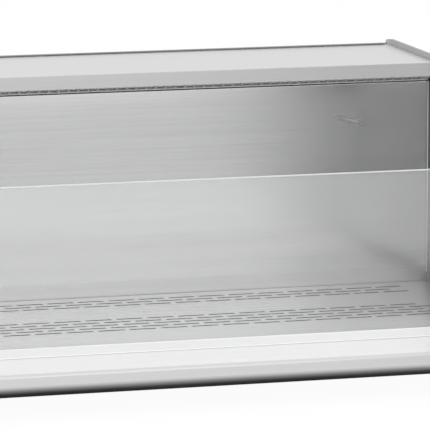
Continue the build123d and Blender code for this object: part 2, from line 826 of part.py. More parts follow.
# Evaporator: thin plates and two end plates expanded on serpentine tubes, in the cold duct
evap_fins = int(evap_length / evap_pitch)
with BuildPart() as evaporator_fins:
    with BuildSketch(Plane.XY.offset(deck_z + evap_bottom)):
        with Locations((0, evap_y)):
            with GridLocations(evap_pitch, 0, evap_fins + 1, 1):
                Rectangle(fin_t, evap_depth)
    extrude(amount=evap_height)
    # end plates that hang the coil between the back wall and the partition
    for side in (-1, 1):
        with BuildSketch(Plane.YZ.offset(side * (evap_length / 2 + 6) - coil_plate_t / 2)):
            with Locations(((wall_y + sheet + duct_back_y) / 2, evap_z)):
                Rectangle(duct_depth - sheet, evap_height + 2 * coil_plate_rim)
        extrude(amount=coil_plate_t)
evaporator_fins.part.label = "evaporator_fins"
export_step(evaporator_fins.part, "parts/evaporator_fins.step")


def serpentine(reach, spread, rise, rows):
    """Corner points of one tube that runs to and fro, two passes to a row, and its bend radii."""
    points = []
    for row in range(rows):
        up = (row - (rows - 1) / 2) * rise
        near, far = (-spread / 2, spread / 2) if row % 2 == 0 else (spread / 2, -spread / 2)
        points += [(-reach / 2, near, up), (reach / 2, near, up)]
        points += [(reach / 2, far, up), (-reach / 2, far, up)]
    return points, spread / 2 - 0.5


evap_points, evap_bend = serpentine(evap_reach, evap_tube_spread, evap_tube_rise, evap_tube_rows)
with BuildPart() as evaporator_tubes:
    with BuildLine(Plane((0, evap_y, evap_z))):
        FilletPolyline(*evap_points, radius=evap_bend)
    with BuildSketch(Plane((-evap_reach / 2, evap_y - evap_tube_spread / 2, liquid_z), z_dir=(1, 0, 0))):
        Circle(evap_tube_r)
    sweep()
evaporator_tubes.part.label = "evaporator_tubes"
export_step(evaporator_tubes.part, "parts/evaporator_tubes.step")

# Blower: two long rotors on one shaft, a motor between them, a scroll that turns the air forwards
blower_y = duct_back_y - seat_gap - sheet - rotor_r - scroll_gap
scroll_r = rotor_r + scroll_gap
blower_z = top_z - sheet - top_foam_t - scroll_under - sheet - scroll_r
rotor_start = blower_motor_l / 2 + blower_motor_gap
rotor_end = rotor_start + rotor_length
scroll_half = rotor_end + 2 + blower_end_t
with BuildPart() as blower_scroll:
    with BuildSketch(Plane.YZ.offset(-scroll_half)):
        with BuildLine():
            bowl = CenterArc((blower_y, blower_z), scroll_r, -100, 190)
            Line(bowl @ 1, (wall_y - scroll_lip, blower_z + scroll_r))
            offset(amount=sheet, side=Side.RIGHT)
        make_face()
    extrude(amount=2 * scroll_half)
    # cheeks with the shaft bearings
    for end_x in (-scroll_half, scroll_half - blower_end_t):
        with BuildSketch(Plane.YZ.offset(end_x)):
            with Locations((blower_y, blower_z)):
                Circle(scroll_r + sheet / 2)
        extrude(amount=blower_end_t)
    with BuildSketch(Plane.YZ.offset(-scroll_half)):
        with Locations((blower_y, blower_z)):
            Circle(blower_shaft_r + shaft_gap)
    extrude(amount=2 * scroll_half, mode=Mode.SUBTRACT)
blower_scroll.part.label = "blower_scroll"
export_step(blower_scroll.part, "parts/blower_scroll.step")

with BuildPart() as blower_motor:
    with BuildSketch(Plane.YZ.offset(-blower_motor_l / 2)):
        # foot that rests in the bowl of the scroll
        with Locations((blower_y, blower_z)):
            Circle(scroll_r - seat_gap)
        with Locations((blower_y + scroll_r / 2, blower_z)):
            Rectangle(scroll_r, blower_foot_w, mode=Mode.INTERSECT)
        with Locations((blower_y, blower_z)):
            Circle(blower_motor_r)
            Circle(blower_shaft_r + shaft_gap, mode=Mode.SUBTRACT)
    extrude(amount=blower_motor_l)
blower_motor.part.label = "blower_motor"
export_step(blower_motor.part, "parts/blower_motor.step")

with BuildPart() as blower_shaft:
    with BuildSketch(Plane.YZ.offset(-scroll_half + 1)):
        with Locations((blower_y, blower_z)):
            Circle(blower_shaft_r)
    extrude(amount=2 * (scroll_half - 1))
blower_shaft.part.label = "blower_shaft"
export_step(blower_shaft.part, "parts/blower_shaft.step")

for name, low_x in (("blower_rotor_left", -rotor_end), ("blower_rotor_right", rotor_start)):
    with BuildPart() as blower_rotor:
        with BuildSketch(Plane.YZ.offset(low_x)):
            with Locations((blower_y, blower_z)):
                with PolarLocations(rotor_r - rotor_blade_w / 2, rotor_blades):
                    Rectangle(rotor_blade_w, rotor_blade_t, rotation=28)
        extrude(amount=rotor_length)
        for disc_x in (low_x, low_x + (rotor_length - rotor_disc_t) / 2, low_x + rotor_length - rotor_disc_t):
            with BuildSketch(Plane.YZ.offset(disc_x)):
                with Locations((blower_y, blower_z)):
                    Circle(rotor_r)
            extrude(amount=rotor_disc_t)
        with BuildSketch(Plane.YZ.offset(low_x)):
            with Locations((blower_y, blower_z)):
                Circle(blower_shaft_r + shaft_gap)
        extrude(amount=rotor_length, mode=Mode.SUBTRACT)
    blower_rotor.part.label = name
    export_step(blower_rotor.part, "parts/" + name + ".step")

# Condenser: upright finned coil between two end plates, across the machine bay
cond_y = bay_y
cond_z = pan_top + cond_stand + cond_height / 2
cond_fins = int((cond_tube_reach - 24) / cond_pitch)
cond_fin_span = (cond_fins - 1) * cond_pitch
with BuildPart() as condenser_fins:
    for fin in range(cond_fins):
        with BuildSketch(Plane.XZ.offset(-(cond_y - cond_fin_span / 2 + fin * cond_pitch))):
            with Locations((cond_x, cond_z)):
                Rectangle(cond_length, cond_height)
        extrude(amount=fin_t)
    # end plates that stand on the pan
    for side in (-1, 1):
        plate_y = cond_y + side * (cond_fin_span / 2 + 4)
        plate_h = cond_height + cond_stand + 6
        with BuildSketch(Plane.XZ.offset(-plate_y)):
            with Locations((cond_x, pan_top + plate_h / 2)):
                Rectangle(cond_length, plate_h)
        extrude(amount=coil_plate_t)
condenser_fins.part.label = "condenser_fins"
export_step(condenser_fins.part, "parts/condenser_fins.step")

cond_points, cond_bend = serpentine(cond_tube_reach, cond_tube_spread, cond_tube_rise, cond_tube_rows)
first, last = cond_points[0], cond_points[-1]
cond_points = [(first[0], first[1] - cond_tail, first[2])] + cond_points
cond_points += [(last[0], last[1], last[2] + cond_tail + 14)]
with BuildPart() as condenser_tubes:
    with BuildLine(Plane((cond_x, cond_y, cond_z), x_dir=(0, 1, 0), z_dir=(0, 0, 1))):
        FilletPolyline(*cond_points, radius=cond_bend)
    tube_start = (cond_x - cond_points[0][1], cond_y + cond_points[0][0], cond_z + cond_points[0][2])
    with BuildSketch(Plane(tube_start, z_dir=(-1, 0, 0))):
        Circle(cond_tube_r)
    sweep()
condenser_tubes.part.label = "condenser_tubes"
export_step(condenser_tubes.part, "parts/condenser_tubes.step")

# Fan shroud: short box duct from the coil to a round mouth
shroud_w = rear_y - sheet - bay_front_y - 2 * seat_gap
shroud_h = cond_height + cond_stand
shroud_x = cond_x - cond_length / 2 - 1
fan_z = cond_z
with BuildPart() as condenser_shroud:
    with BuildSketch(Plane.YZ.offset(shroud_x)):
        with Locations((bay_y, pan_top + shroud_h / 2)):
            Rectangle(shroud_w, shroud_h)
    extrude(amount=-shroud_depth)
    with BuildSketch(Plane.YZ.offset(shroud_x)):
        with Locations((bay_y, pan_top + shroud_h / 2)):
            Rectangle(shroud_w - 2 * shroud_t, shroud_h - 2 * shroud_t)
    extrude(amount=-(shroud_depth - shroud_t), mode=Mode.SUBTRACT)
    with BuildSketch(Plane.YZ.offset(shroud_x)):
        with Locations((bay_y, fan_z)):
            Circle(fan_r + fan_tip_gap)
    extrude(amount=-shroud_depth, mode=Mode.SUBTRACT)
condenser_shroud.part.label = "condenser_shroud"
export_step(condenser_shroud.part, "parts/condenser_shroud.step")

# Condenser fan: hub and twisted blades on a stub shaft
fan_x = shroud_x - shroud_depth + shroud_t
with BuildPart() as condenser_fan:
    with BuildSketch(Plane.YZ.offset(fan_x - fan_hub_t)):
        with Locations((bay_y, fan_z)):
            Circle(fan_hub_r)
    extrude(amount=fan_hub_t)
    for blade in range(fan_blades):
        turn = radians(360 / fan_blades * blade)
        outward = (0, cos(turn), sin(turn))
        along = (0, -sin(turn), cos(turn))
        for span, pitch, chord in ((fan_hub_r - 3, fan_pitch + 14, 0.7), (fan_r + 2, fan_pitch - 6, 1.0)):
            lean = radians(pitch)
            chord_dir = (sin(lean), along[1] * cos(lean), along[2] * cos(lean))
            origin = (fan_x - fan_hub_t / 2, bay_y + outward[1] * span, fan_z + outward[2] * span)
            with BuildSketch(Plane(origin=origin, x_dir=chord_dir, z_dir=outward)):
                Rectangle(fan_blade_w * chord, fan_blade_t)
        loft()
    with BuildSketch(Plane.YZ.offset(fan_x - fan_hub_t / 2 - fan_blade_w)):
        with Locations((bay_y, fan_z)):
            Circle(fan_r)
    extrude(amount=2 * fan_blade_w, mode=Mode.INTERSECT)
    with BuildSketch(Plane.YZ.offset(fan_x - fan_hub_t)):
        with Locations((bay_y, fan_z)):
            Circle(fan_shaft_r)
    extrude(amount=-(fan_arm_gap + fan_motor_l / 2))
condenser_fan.part.label = "condenser_fan"
export_step(condenser_fan.part, "parts/condenser_fan.step")

# Fan motor: can on an upright arm whose two ends stand on the shroud
motor_x = fan_x - fan_hub_t - fan_arm_gap
with BuildPart() as fan_motor:
    with BuildSketch(Plane.YZ.offset(motor_x)):
        with Locations((bay_y, fan_z)):
            Circle(fan_motor_r)
    extrude(amount=-fan_motor_l)
    with BuildSketch(Plane.YZ.offset(motor_x)):
        with Locations((bay_y, fan_z)):
            Rectangle(fan_arm_w, 2 * (fan_r + fan_tip_gap + 6))
    extrude(amount=-fan_arm_t)
    with BuildSketch(Plane.YZ.offset(motor_x)):
        with Locations((bay_y, fan_z)):
            with GridLocations(0, 2 * (fan_r + fan_tip_gap + 3), 1, 2):
                Rectangle(fan_arm_w, 6)
    extrude(amount=shroud_x - shroud_depth - motor_x)
    with BuildSketch(Plane.YZ.offset(motor_x)):
        with Locations((bay_y, fan_z)):
            Circle(fan_shaft_r + shaft_gap)
    extrude(amount=-fan_motor_l + 4, mode=Mode.SUBTRACT)
fan_motor.part.label = "fan_motor"
export_step(fan_motor.part, "parts/fan_motor.step")

# Compressor: domed steel shell on a plate and four rubber mounts
plate_z = pan_top + comp_mount_h
shell_z = plate_z + comp_plate_t
with BuildPart() as compressor:
    with BuildSketch(Plane.XY.offset(plate_z)):
        with Locations((comp_x, bay_y)):
            RectangleRounded(comp_plate_l, comp_plate_w, 8)
    extrude(amount=comp_plate_t)
    with BuildSketch(Plane.XZ.offset(-bay_y)):
        with BuildLine():
            shell = FilletPolyline(
                (comp_x, shell_z),
                (comp_x + comp_r, shell_z),
                (comp_x + comp_r, shell_z + comp_height - 4),
                (comp_x, shell_z + comp_height),
                radius=[comp_dome * 0.5, comp_dome],
            )
            Line(shell @ 1, shell @ 0)
        make_face()
    revolve(axis=Axis((comp_x, bay_y, 0), (0, 0, 1)))
    with BuildSketch(Plane.XY.offset(shell_z + comp_height - 20)):
        with Locations((comp_x - comp_stub_at, bay_y), (comp_x + comp_stub_at, bay_y)):
            Circle(comp_stub_r)
    extrude(amount=20 + comp_stub_up)
    with BuildSketch(Plane.XY.offset(shell_z + terminal_up)):
        with Locations((comp_x - comp_r - 4, bay_y)):
            Rectangle(terminal_l, terminal_w)
    extrude(amount=terminal_h)
compressor.part.label = "compressor"
export_step(compressor.part, "parts/compressor.step")

with BuildPart() as compressor_mounts:
    with BuildSketch(Plane.XY.offset(pan_top)):
        with Locations((comp_x, bay_y)):
            with GridLocations(comp_plate_l - 24, comp_plate_w - 24, 2, 2):
                Circle(comp_mount_r)
    extrude(amount=comp_mount_h)
compressor_mounts.part.label = "compressor_mounts"
export_step(compressor_mounts.part, "parts/compressor_mounts.step")

# Refrigerant lines: round bends between straight runs
stub_top = shell_z + comp_height + comp_stub_up
evap_out = (-evap_reach / 2, evap_y + evap_tube_spread / 2, suction_z)
with BuildPart() as suction_line:
    with BuildLine():
        FilletPolyline(
            evap_out,
            (pipes_x, evap_out[1], suction_z),
            (pipes_x, bay_y, suction_z),
            (comp_x - comp_stub_at, bay_y, suction_z),
            (comp_x - comp_stub_at, bay_y, stub_top),
            radius=pipe_bend,
        )
    with BuildSketch(Plane(evap_out, z_dir=(-1, 0, 0))):
        Circle(pipe_r)
    sweep()
suction_line.part.label = "suction_line"
export_step(suction_line.part, "parts/suction_line.step")

cond_top = (cond_x - last[1], cond_y + last[0], cond_z + cond_points[-1][2])
run_z = cond_top[2] + pipe_bend + 6
with BuildPart() as discharge_line:
    with BuildLine():
        FilletPolyline(
            (comp_x + comp_stub_at, bay_y, stub_top),
            (comp_x + comp_stub_at, bay_y, run_z),
            (cond_top[0], bay_y, run_z),
            (cond_top[0], cond_top[1], run_z),
            cond_top,
            radius=pipe_bend - 2,
        )
    with BuildSketch(Plane((comp_x + comp_stub_at, bay_y, stub_top))):
        Circle(pipe_r - 0.5)
    sweep()
discharge_line.part.label = "discharge_line"
export_step(discharge_line.part, "parts/discharge_line.step")

# Filter drier: copper bottle with tapered shoulders, in line with the condenser outlet
with BuildPart() as filter_drier:
    with BuildSketch(Plane.XY.offset(tube_start[2])):
        with BuildLine():
            Polyline(
                (tube_start[0], tube_start[1]),
                (tube_start[0], tube_start[1] + cond_tube_r),
                (tube_start[0] + 8, tube_start[1] + drier_r),
                (tube_start[0] + drier_length - 8, tube_start[1] + drier_r),
                (tube_start[0] + drier_length, tube_start[1] + 3),
                (tube_start[0] + drier_length, tube_start[1]),
                close=True,
            )
        make_face()
    revolve(axis=Axis(tube_start, (1, 0, 0)))
filter_drier.part.label = "filter_drier"
export_step(filter_drier.part, "parts/filter_drier.step")

drier_end = (tube_start[0] + drier_length, tube_start[1], tube_start[2])
with BuildPart() as liquid_line:
    with BuildLine():
        FilletPolyline(
            drier_end,
            (drier_end[0] + 26, drier_end[1], drier_end[2]),
            (drier_end[0] + 26, drier_end[1], run_z + 16),
            (pipes_x, drier_end[1], run_z + 16),
            (pipes_x, drier_end[1], liquid_z),
            (pipes_x, evap_y - evap_tube_spread / 2, liquid_z),
            (-evap_reach / 2, evap_y - evap_tube_spread / 2, liquid_z),
            radius=10,
        )
    with BuildSketch(Plane(drier_end, z_dir=(1, 0, 0))):
        Circle(capillary_r)
    sweep()
liquid_line.part.label = "liquid_line"
export_step(liquid_line.part, "parts/liquid_line.step")

# Controls: bezel shell on the rear cover
face_y = rear_y + bezel_t
window_x = bezel_x + window_off
button_x = [bezel_x + button_off + i * button_pitch for i in range(4)]
rocker_x = bezel_x + rocker_off
sleeve_w = rocker_w + 2 * frame_wall
sleeve_h = rocker_h + 2 * frame_wall
with BuildPart() as control_bezel:
    with BuildSketch(Plane.XZ.offset(-rear_y)):
        with Locations((bezel_x, bezel_z)):
            RectangleRounded(bezel_w, bezel_h, bezel_corner)
    extrude(amount=-bezel_t)
    chamfer(control_bezel.faces().sort_by(Axis.Y)[-1].edges(), 1.2)
    with BuildSketch(Plane.XZ.offset(-rear_y)):
        with Locations((bezel_x, bezel_z)):
            Rectangle(bezel_w - 2 * bezel_wall, bezel_h - 2 * bezel_wall)
    extrude(amount=-(bezel_t - bezel_wall), mode=Mode.SUBTRACT)
    with BuildSketch(Plane.XZ.offset(-rear_y)):
        with Locations((window_x, bezel_z)):
            Rectangle(window_w, window_h)
        with Locations(*[(x, bezel_z) for x in button_x]):
            Circle(button_r + button_gap)
        with Locations((rocker_x, bezel_z)):
            Rectangle(sleeve_w, sleeve_h)
    extrude(amount=-bezel_t, mode=Mode.SUBTRACT)
control_bezel.part.label = "control_bezel"
export_step(control_bezel.part, "parts/control_bezel.step")

with BuildPart() as display_window:
    with BuildSketch(Plane.XZ.offset(-(face_y - 0.5))):
        with Locations((window_x, bezel_z)):
            Rectangle(window_w - 0.2, window_h - 0.2)
    extrude(amount=bezel_wall - 0.5)
    with BuildSketch(Plane.XZ.offset(-(face_y - bezel_wall))):
        with Locations((window_x, bezel_z)):
            Rectangle(window_w + 5, window_h + 5)
    extrude(amount=1.5)
display_window.part.label = "display_window"
export_step(display_window.part, "parts/display_window.step")

for name, x in zip(("button_set", "button_up", "button_down", "button_defrost"), button_x):
    with BuildPart() as button:
        with BuildSketch(Plane.XZ.offset(-(face_y + button_proud))):
            with Locations((x, bezel_z)):
                Circle(button_r)
        extrude(amount=button_proud + bezel_wall + 0.1)
        chamfer(button.edges().sort_by(Axis.Y)[-1], 0.6)
        with BuildSketch(Plane.XZ.offset(-(face_y - bezel_wall - 0.1))):
            with Locations((x, bezel_z)):
                Circle(button_r + 1.2)
        extrude(amount=button_flange)
    button.part.label = name
    export_step(button.part, "parts/" + name + ".step")

# Control board: carries the display and one key switch behind each button
board_y = rear_y - 2.0
switch_h = face_y - bezel_wall - 0.1 - button_flange - button_travel - 0.3 - board_y
with BuildPart() as control_board:
    with BuildSketch(Plane.XZ.offset(-board_y)):
        with Locations((bezel_x + board_off, bezel_z)):
            Rectangle(board_w, board_h)
    extrude(amount=board_t)
    with BuildSketch(Plane.XZ.offset(-board_y)):
        with Locations(*[(x, bezel_z) for x in button_x]):
            Rectangle(board_post, board_post)
    extrude(amount=-switch_h)
    with BuildSketch(Plane.XZ.offset(-board_y)):
        with Locations((window_x, bezel_z)):
            Rectangle(window_w - 8, window_h - 4)
    extrude(amount=-(face_y - bezel_wall - 1.5 - seat_gap - board_y))
control_board.part.label = "control_board"
export_step(control_board.part, "parts/control_board.step")

with BuildPart() as control_box:
    with BuildSketch(Plane.XZ.offset(-(rear_y - sheet))):
        with Locations((bezel_x, bezel_z)):
            Rectangle(bezel_w, bezel_h)
    extrude(amount=box_depth)
    with BuildSketch(Plane.XZ.offset(-(rear_y - sheet))):
        with Locations((bezel_x, bezel_z)):
            Rectangle(bezel_w - 4, bezel_h - 4)
    extrude(amount=box_depth - 2, mode=Mode.SUBTRACT)
    with BuildSketch(Plane.XZ.offset(-(board_y - board_t))):
        with Locations((bezel_x + board_off, bezel_z)):
            with GridLocations(board_w - 2 * board_post, 0, 2, 1):
                Rectangle(board_post, bezel_h - 4)
    extrude(amount=box_depth - (rear_y - sheet - board_y + board_t))
control_box.part.label = "control_box"
export_step(control_box.part, "parts/control_box.step")

# Rocker switch: sleeve in the bezel, rocker on a cross axle
pivot_y = face_y - frame_rim
with BuildPart() as rocker_frame:
    with BuildSketch(Plane.XZ.offset(-face_y)):
        with Locations((rocker_x, bezel_z)):
            Rectangle(sleeve_w + 4, sleeve_h + 3)
    extrude(amount=-frame_rim)
    with BuildSketch(Plane.XZ.offset(-face_y)):
        with Locations((rocker_x, bezel_z)):
            Rectangle(sleeve_w - 0.1, sleeve_h - 0.1)
    extrude(amount=frame_depth)
    with BuildSketch(Plane.XZ.offset(-(face_y + frame_rim))):
        with Locations((rocker_x, bezel_z)):
            Rectangle(rocker_w, rocker_h)
    extrude(amount=frame_depth + frame_rim - 2, mode=Mode.SUBTRACT)
    with BuildSketch(Plane.YZ.offset(rocker_x - sleeve_w / 2)):
        with Locations((pivot_y, bezel_z)):
            Circle(rocker_axle_r + shaft_gap)
    extrude(amount=sleeve_w, mode=Mode.SUBTRACT)
rocker_frame.part.label = "rocker_frame"
export_step(rocker_frame.part, "parts/rocker_frame.step")

rocker_arm = rocker_h / 2 - rocker_gap - 0.3
tilt = radians(rocker_tilt)
with BuildPart() as rocker_switch:
    rocker_plane = Plane(
        origin=(rocker_x - rocker_w / 2 + rocker_gap / 2, pivot_y, bezel_z),
        x_dir=(0, cos(tilt), sin(tilt)),
        z_dir=(1, 0, 0),
    )
    with BuildSketch(rocker_plane):
        with BuildLine():
            Polyline(
                (1.6, 0),
                (1.6 + rocker_arm * tan(tilt), rocker_arm),
                (-1.0, rocker_arm),
                (-4.5, rocker_arm * 0.6),
                (-4.5, -rocker_arm * 0.6),
                (-1.0, -rocker_arm),
                (1.6 + rocker_arm * tan(tilt), -rocker_arm),
                close=True,
            )
        make_face()
    extrude(amount=rocker_w - rocker_gap)
    with BuildSketch(Plane.YZ.offset(rocker_x - sleeve_w / 2 + 0.1)):
        with Locations((pivot_y, bezel_z)):
            Circle(rocker_axle_r)
    extrude(amount=sleeve_w - 0.2)
rocker_switch.part.label = "rocker_switch"
export_step(rocker_switch.part, "parts/rocker_switch.step")

# Temperature probe on the back wall, held by two clips
probe_x = inner - probe_from_glass
probe_z = deck_z + probe_up
probe_turn = radians(probe_tilt)
probe_stand = probe_r + clip_wall
probe_plane = Plane(
    origin=(probe_x, wall_y, probe_z),
    x_dir=(cos(probe_turn), 0, -sin(probe_turn)),
    z_dir=(0, -1, 0),
)
rod_dir = (cos(probe_turn), 0, -sin(probe_turn))
rod_start = (
    probe_x - rod_dir[0] * probe_length / 2,
    wall_y - probe_stand,
    probe_z - rod_dir[2] * probe_length / 2,
)
with BuildPart() as temperature_probe:
    with BuildSketch(Plane(rod_start, z_dir=rod_dir)):
        Circle(probe_r)
    extrude(amount=probe_length)
    chamfer(temperature_probe.edges().filter_by(GeomType.CIRCLE).sort_by(Axis.X)[-1], 1.4)
temperature_probe.part.label = "temperature_probe"
export_step(temperature_probe.part, "parts/temperature_probe.step")

with BuildPart() as probe_clips:
    with BuildSketch(probe_plane):
        with GridLocations(clip_pitch, 0, 2, 1):
            Rectangle(clip_w, 2 * probe_stand)
    extrude(amount=2 * probe_stand)
    with BuildSketch(Plane(rod_start, z_dir=rod_dir)):
        Circle(probe_r + shaft_gap)
    extrude(amount=probe_length, mode=Mode.SUBTRACT)
probe_clips.part.label = "probe_clips"
export_step(probe_clips.part, "parts/probe_clips.step")

# Feet: threaded levelling feet, one under each corner
foot_spots = {
    "foot_front_left": (foot_inset - half, y_at(foot_front)),
    "foot_front_right": (half - foot_inset, y_at(foot_front)),
    "foot_rear_left": (foot_inset - half, y_at(foot_rear)),
    "foot_rear_right": (half - foot_inset, y_at(foot_rear)),
}
for name, (foot_x, foot_y) in foot_spots.items():
    with BuildPart() as foot:
        with BuildSketch(Plane.XZ.offset(-foot_y)):
            with BuildLine():
                Polyline(
                    (foot_x, 0),
                    (foot_x + foot_pad_r, 0),
                    (foot_x + foot_pad_r, foot_pad_t * 0.5),
                    (foot_x + foot_neck_r + 2, foot_pad_t),
                    (foot_x + foot_neck_r, foot_height - foot_nut_t),
                    (foot_x + foot_neck_r + 3, foot_height - foot_nut_t),
                    (foot_x + foot_neck_r + 3, foot_height),
                    (foot_x + foot_stem_r, foot_height),
                    (foot_x + foot_stem_r, foot_height + sheet),
                    (foot_x, foot_height + sheet),
                    close=True,
                )
            make_face()
        revolve(axis=Axis((foot_x, foot_y, 0), (0, 0, 1)))
    foot.part.label = name
    export_step(foot.part, "parts/" + name + ".step")
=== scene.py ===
import math

import bpy
import numpy as np
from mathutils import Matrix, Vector


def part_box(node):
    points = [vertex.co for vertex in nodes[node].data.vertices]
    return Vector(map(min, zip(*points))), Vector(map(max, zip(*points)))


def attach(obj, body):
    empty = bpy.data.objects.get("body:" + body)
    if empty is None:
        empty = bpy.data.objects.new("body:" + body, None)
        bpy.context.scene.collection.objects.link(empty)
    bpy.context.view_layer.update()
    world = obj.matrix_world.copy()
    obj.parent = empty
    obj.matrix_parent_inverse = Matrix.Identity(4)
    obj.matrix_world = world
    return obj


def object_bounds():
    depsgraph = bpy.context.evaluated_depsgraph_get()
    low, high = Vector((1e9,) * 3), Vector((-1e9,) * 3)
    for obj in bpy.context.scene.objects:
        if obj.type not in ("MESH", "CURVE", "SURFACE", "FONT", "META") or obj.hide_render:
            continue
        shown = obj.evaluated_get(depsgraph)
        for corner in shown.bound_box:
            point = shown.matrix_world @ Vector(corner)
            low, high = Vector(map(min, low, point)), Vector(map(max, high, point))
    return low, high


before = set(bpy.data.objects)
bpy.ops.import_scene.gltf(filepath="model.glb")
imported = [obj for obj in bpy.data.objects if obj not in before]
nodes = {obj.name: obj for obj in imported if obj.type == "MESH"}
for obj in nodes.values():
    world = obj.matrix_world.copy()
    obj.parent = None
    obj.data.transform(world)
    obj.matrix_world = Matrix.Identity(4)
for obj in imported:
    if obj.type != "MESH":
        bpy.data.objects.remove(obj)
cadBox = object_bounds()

scene = bpy.context.scene
print("frame loaded,", len(nodes), "nodes")


# Shader maths: a value stands for a socket, and arithmetic on it adds Math nodes
class Value:
    def __init__(self, tree, socket):
        self.tree, self.socket = tree, socket

    def math(self, operation, *parts, clamp=False):
        node = self.tree.nodes.new("ShaderNodeMath")
        node.operation, node.use_clamp = operation, clamp
        for place, part in enumerate(parts):
            if isinstance(part, Value):
                self.tree.links.new(part.socket, node.inputs[place])
            else:
                node.inputs[place].default_value = part
        return Value(self.tree, node.outputs[0])

    def __add__(self, other):
        return self.math("ADD", self, other)

    def __sub__(self, other):
        return self.math("SUBTRACT", self, other)

    def __rsub__(self, other):
        return self.math("SUBTRACT", other, self)

    def __mul__(self, other):
        return self.math("MULTIPLY", self, other)

    def __truediv__(self, other):
        return self.math("DIVIDE", self, other)

    def __mod__(self, other):
        return self.math("MODULO", self, other)

    def __pow__(self, other):
        return self.math("POWER", self, other)

    __radd__, __rmul__ = __add__, __mul__

    def size(self):
        return self.math("ABSOLUTE", self)

    def most(self, other):
        return self.math("MAXIMUM", self, other)

    # the nearest whole number from 0 to last
    def step(self, last):
        return self.math("ROUND", self.math("MINIMUM", self, last).most(0.0))

    def held(self):
        return self.math("ADD", self, 0.0, clamp=True)

    # 0 below low, 1 above high, straight between
    def rise(self, low, high):
        return ((self - low) / (high - low)).held()


# One node tree. add() takes any other node: its type, its settings, then the values or links of its sockets
class Shades:
    def __init__(self, owner):
        owner.use_nodes = True
        self.tree = owner.node_tree
        self.tree.nodes.clear()

    def add(self, kind, settings=None, inputs=None, out=0):
        node = self.tree.nodes.new("ShaderNode" + kind)
        for name, setting in (settings or {}).items():
            if name == "stops":
                ramp = node.color_ramp
                while len(ramp.elements) < len(setting):
                    ramp.elements.new(0.5)
                for element, (place, shade) in zip(ramp.elements, setting):
                    element.position, element.color = place, (*shade, 1.0)
            else:
                setattr(node, name, setting)
        for name, value in (inputs or {}).items():
            if isinstance(value, Value):
                self.tree.links.new(value.socket, node.inputs[name])
            else:
                node.inputs[name].default_value = value
        return Value(self.tree, node.outputs[out]) if node.outputs else None

    def part(self, vector, axis):
        return self.add("SeparateXYZ", inputs={"Vector": vector}, out=axis)

    def spot(self):
        return self.add("TexCoord", out="Object")

    # a place on the object and its three parts
    def place(self):
        spot = self.spot()
        return spot, [self.part(spot, axis) for axis in range(3)]

    # one part of the direction that a face looks in
    def facing(self, axis):
        return self.part(self.add("NewGeometry", out="True Normal"), axis)

    def noise(self, spot, scale, detail=3.0, rough=0.5):
        moved = self.add("Mapping", inputs={"Vector": spot, "Scale": scale})
        return self.add("TexNoise", None, {"Vector": moved, "Scale": 1.0, "Detail": detail,
                                           "Roughness": rough})

    def blend(self, share, first, second):
        node = {"data_type": "RGBA", "clamp_factor": True}
        return self.add("Mix", node, {0: share, 6: first, 7: second}, out=2)

    def mix(self, share, first, second):
        return self.add("MixShader", None, {0: share, 1: first, 2: second})

    def glow(self, color, strength=1.0, kind="Emission"):
        return self.add(kind, None, {"Color": color, "Strength": strength})

    def bump(self, height, strength, distance):
        return self.add("Bump", None, {"Height": height, "Strength": strength, "Distance": distance})

    def surface(self, **sockets):
        named = {name.replace("_", " "): value for name, value in sockets.items()}
        return self.add("BsdfPrincipled", None, named)

    def close(self, shader, kind="OutputMaterial"):
        self.add(kind, None, {"Surface": shader})


def newMaterial(name):
    made = bpy.data.materials.new(name)
    return made, Shades(made)


# A colour as a socket takes it: one grey or three numbers, made paler or deeper by a factor
def shadeOf(color, factor=1.0, more=0.0):
    three = color if isinstance(color, tuple) else (color,) * 3
    return [min(1.0, c * factor + more) for c in three] + [1.0]


def dress(made, *names):
    for name in names:
        slots = nodes[name].material_slots
        for slot in slots:
            slot.material = made
        if not slots:
            nodes[name].data.materials.append(made)


# Camera: a long lens from the front, a little above and to the left
camera = dict(place=(-1.4061, -5.9699, 1.2676), lens=331.5, sensor=36.0, down=9.52, turn=15.41, far=200.0)
lens = bpy.data.cameras.new("camera")
lens.lens, lens.sensor_width, lens.clip_end = camera["lens"], camera["sensor"], camera["far"]
eye = bpy.data.objects.new("camera", lens)
eye.location = camera["place"]
eye.rotation_euler = (math.radians(90 - camera["down"]), 0.0, math.radians(-camera["turn"]))
scene.collection.objects.link(eye)
scene.camera = eye
scene.view_settings.view_transform = "Standard"
print("camera set")


# A mesh from points and from faces of one or two kinds, each kind a table of corners
def plainMesh(name, points, *faces, smooth=True):
    mesh = bpy.data.meshes.new(name)
    mesh.vertices.add(len(points))
    mesh.vertices.foreach_set("co", points.astype(np.float32).ravel())
    sizes = np.concatenate([np.full(len(kind), kind.shape[1]) for kind in faces])
    mesh.loops.add(sizes.sum())
    mesh.loops.foreach_set("vertex_index", np.concatenate([kind.ravel() for kind in faces]).astype(np.int32))
    mesh.polygons.add(len(sizes))
    mesh.polygons.foreach_set("loop_start", (np.cumsum(sizes) - sizes).astype(np.int32))
    mesh.polygons.foreach_set("use_smooth", np.full(len(sizes), smooth))
    mesh.update(calc_edges=True)
    return mesh


# A mesh from a grid of points whose last row and column join the first
def closedGrid(name, points):
    index = np.arange(points.size // 3).reshape(points.shape[:2])
    right, up = np.roll(index, -1, axis=1), np.roll(index, -1, axis=0)
    quads = np.stack([index, right, np.roll(up, -1, axis=1), up], -1).reshape(-1, 4)
    return plainMesh(name, points.reshape(-1, 3), quads)


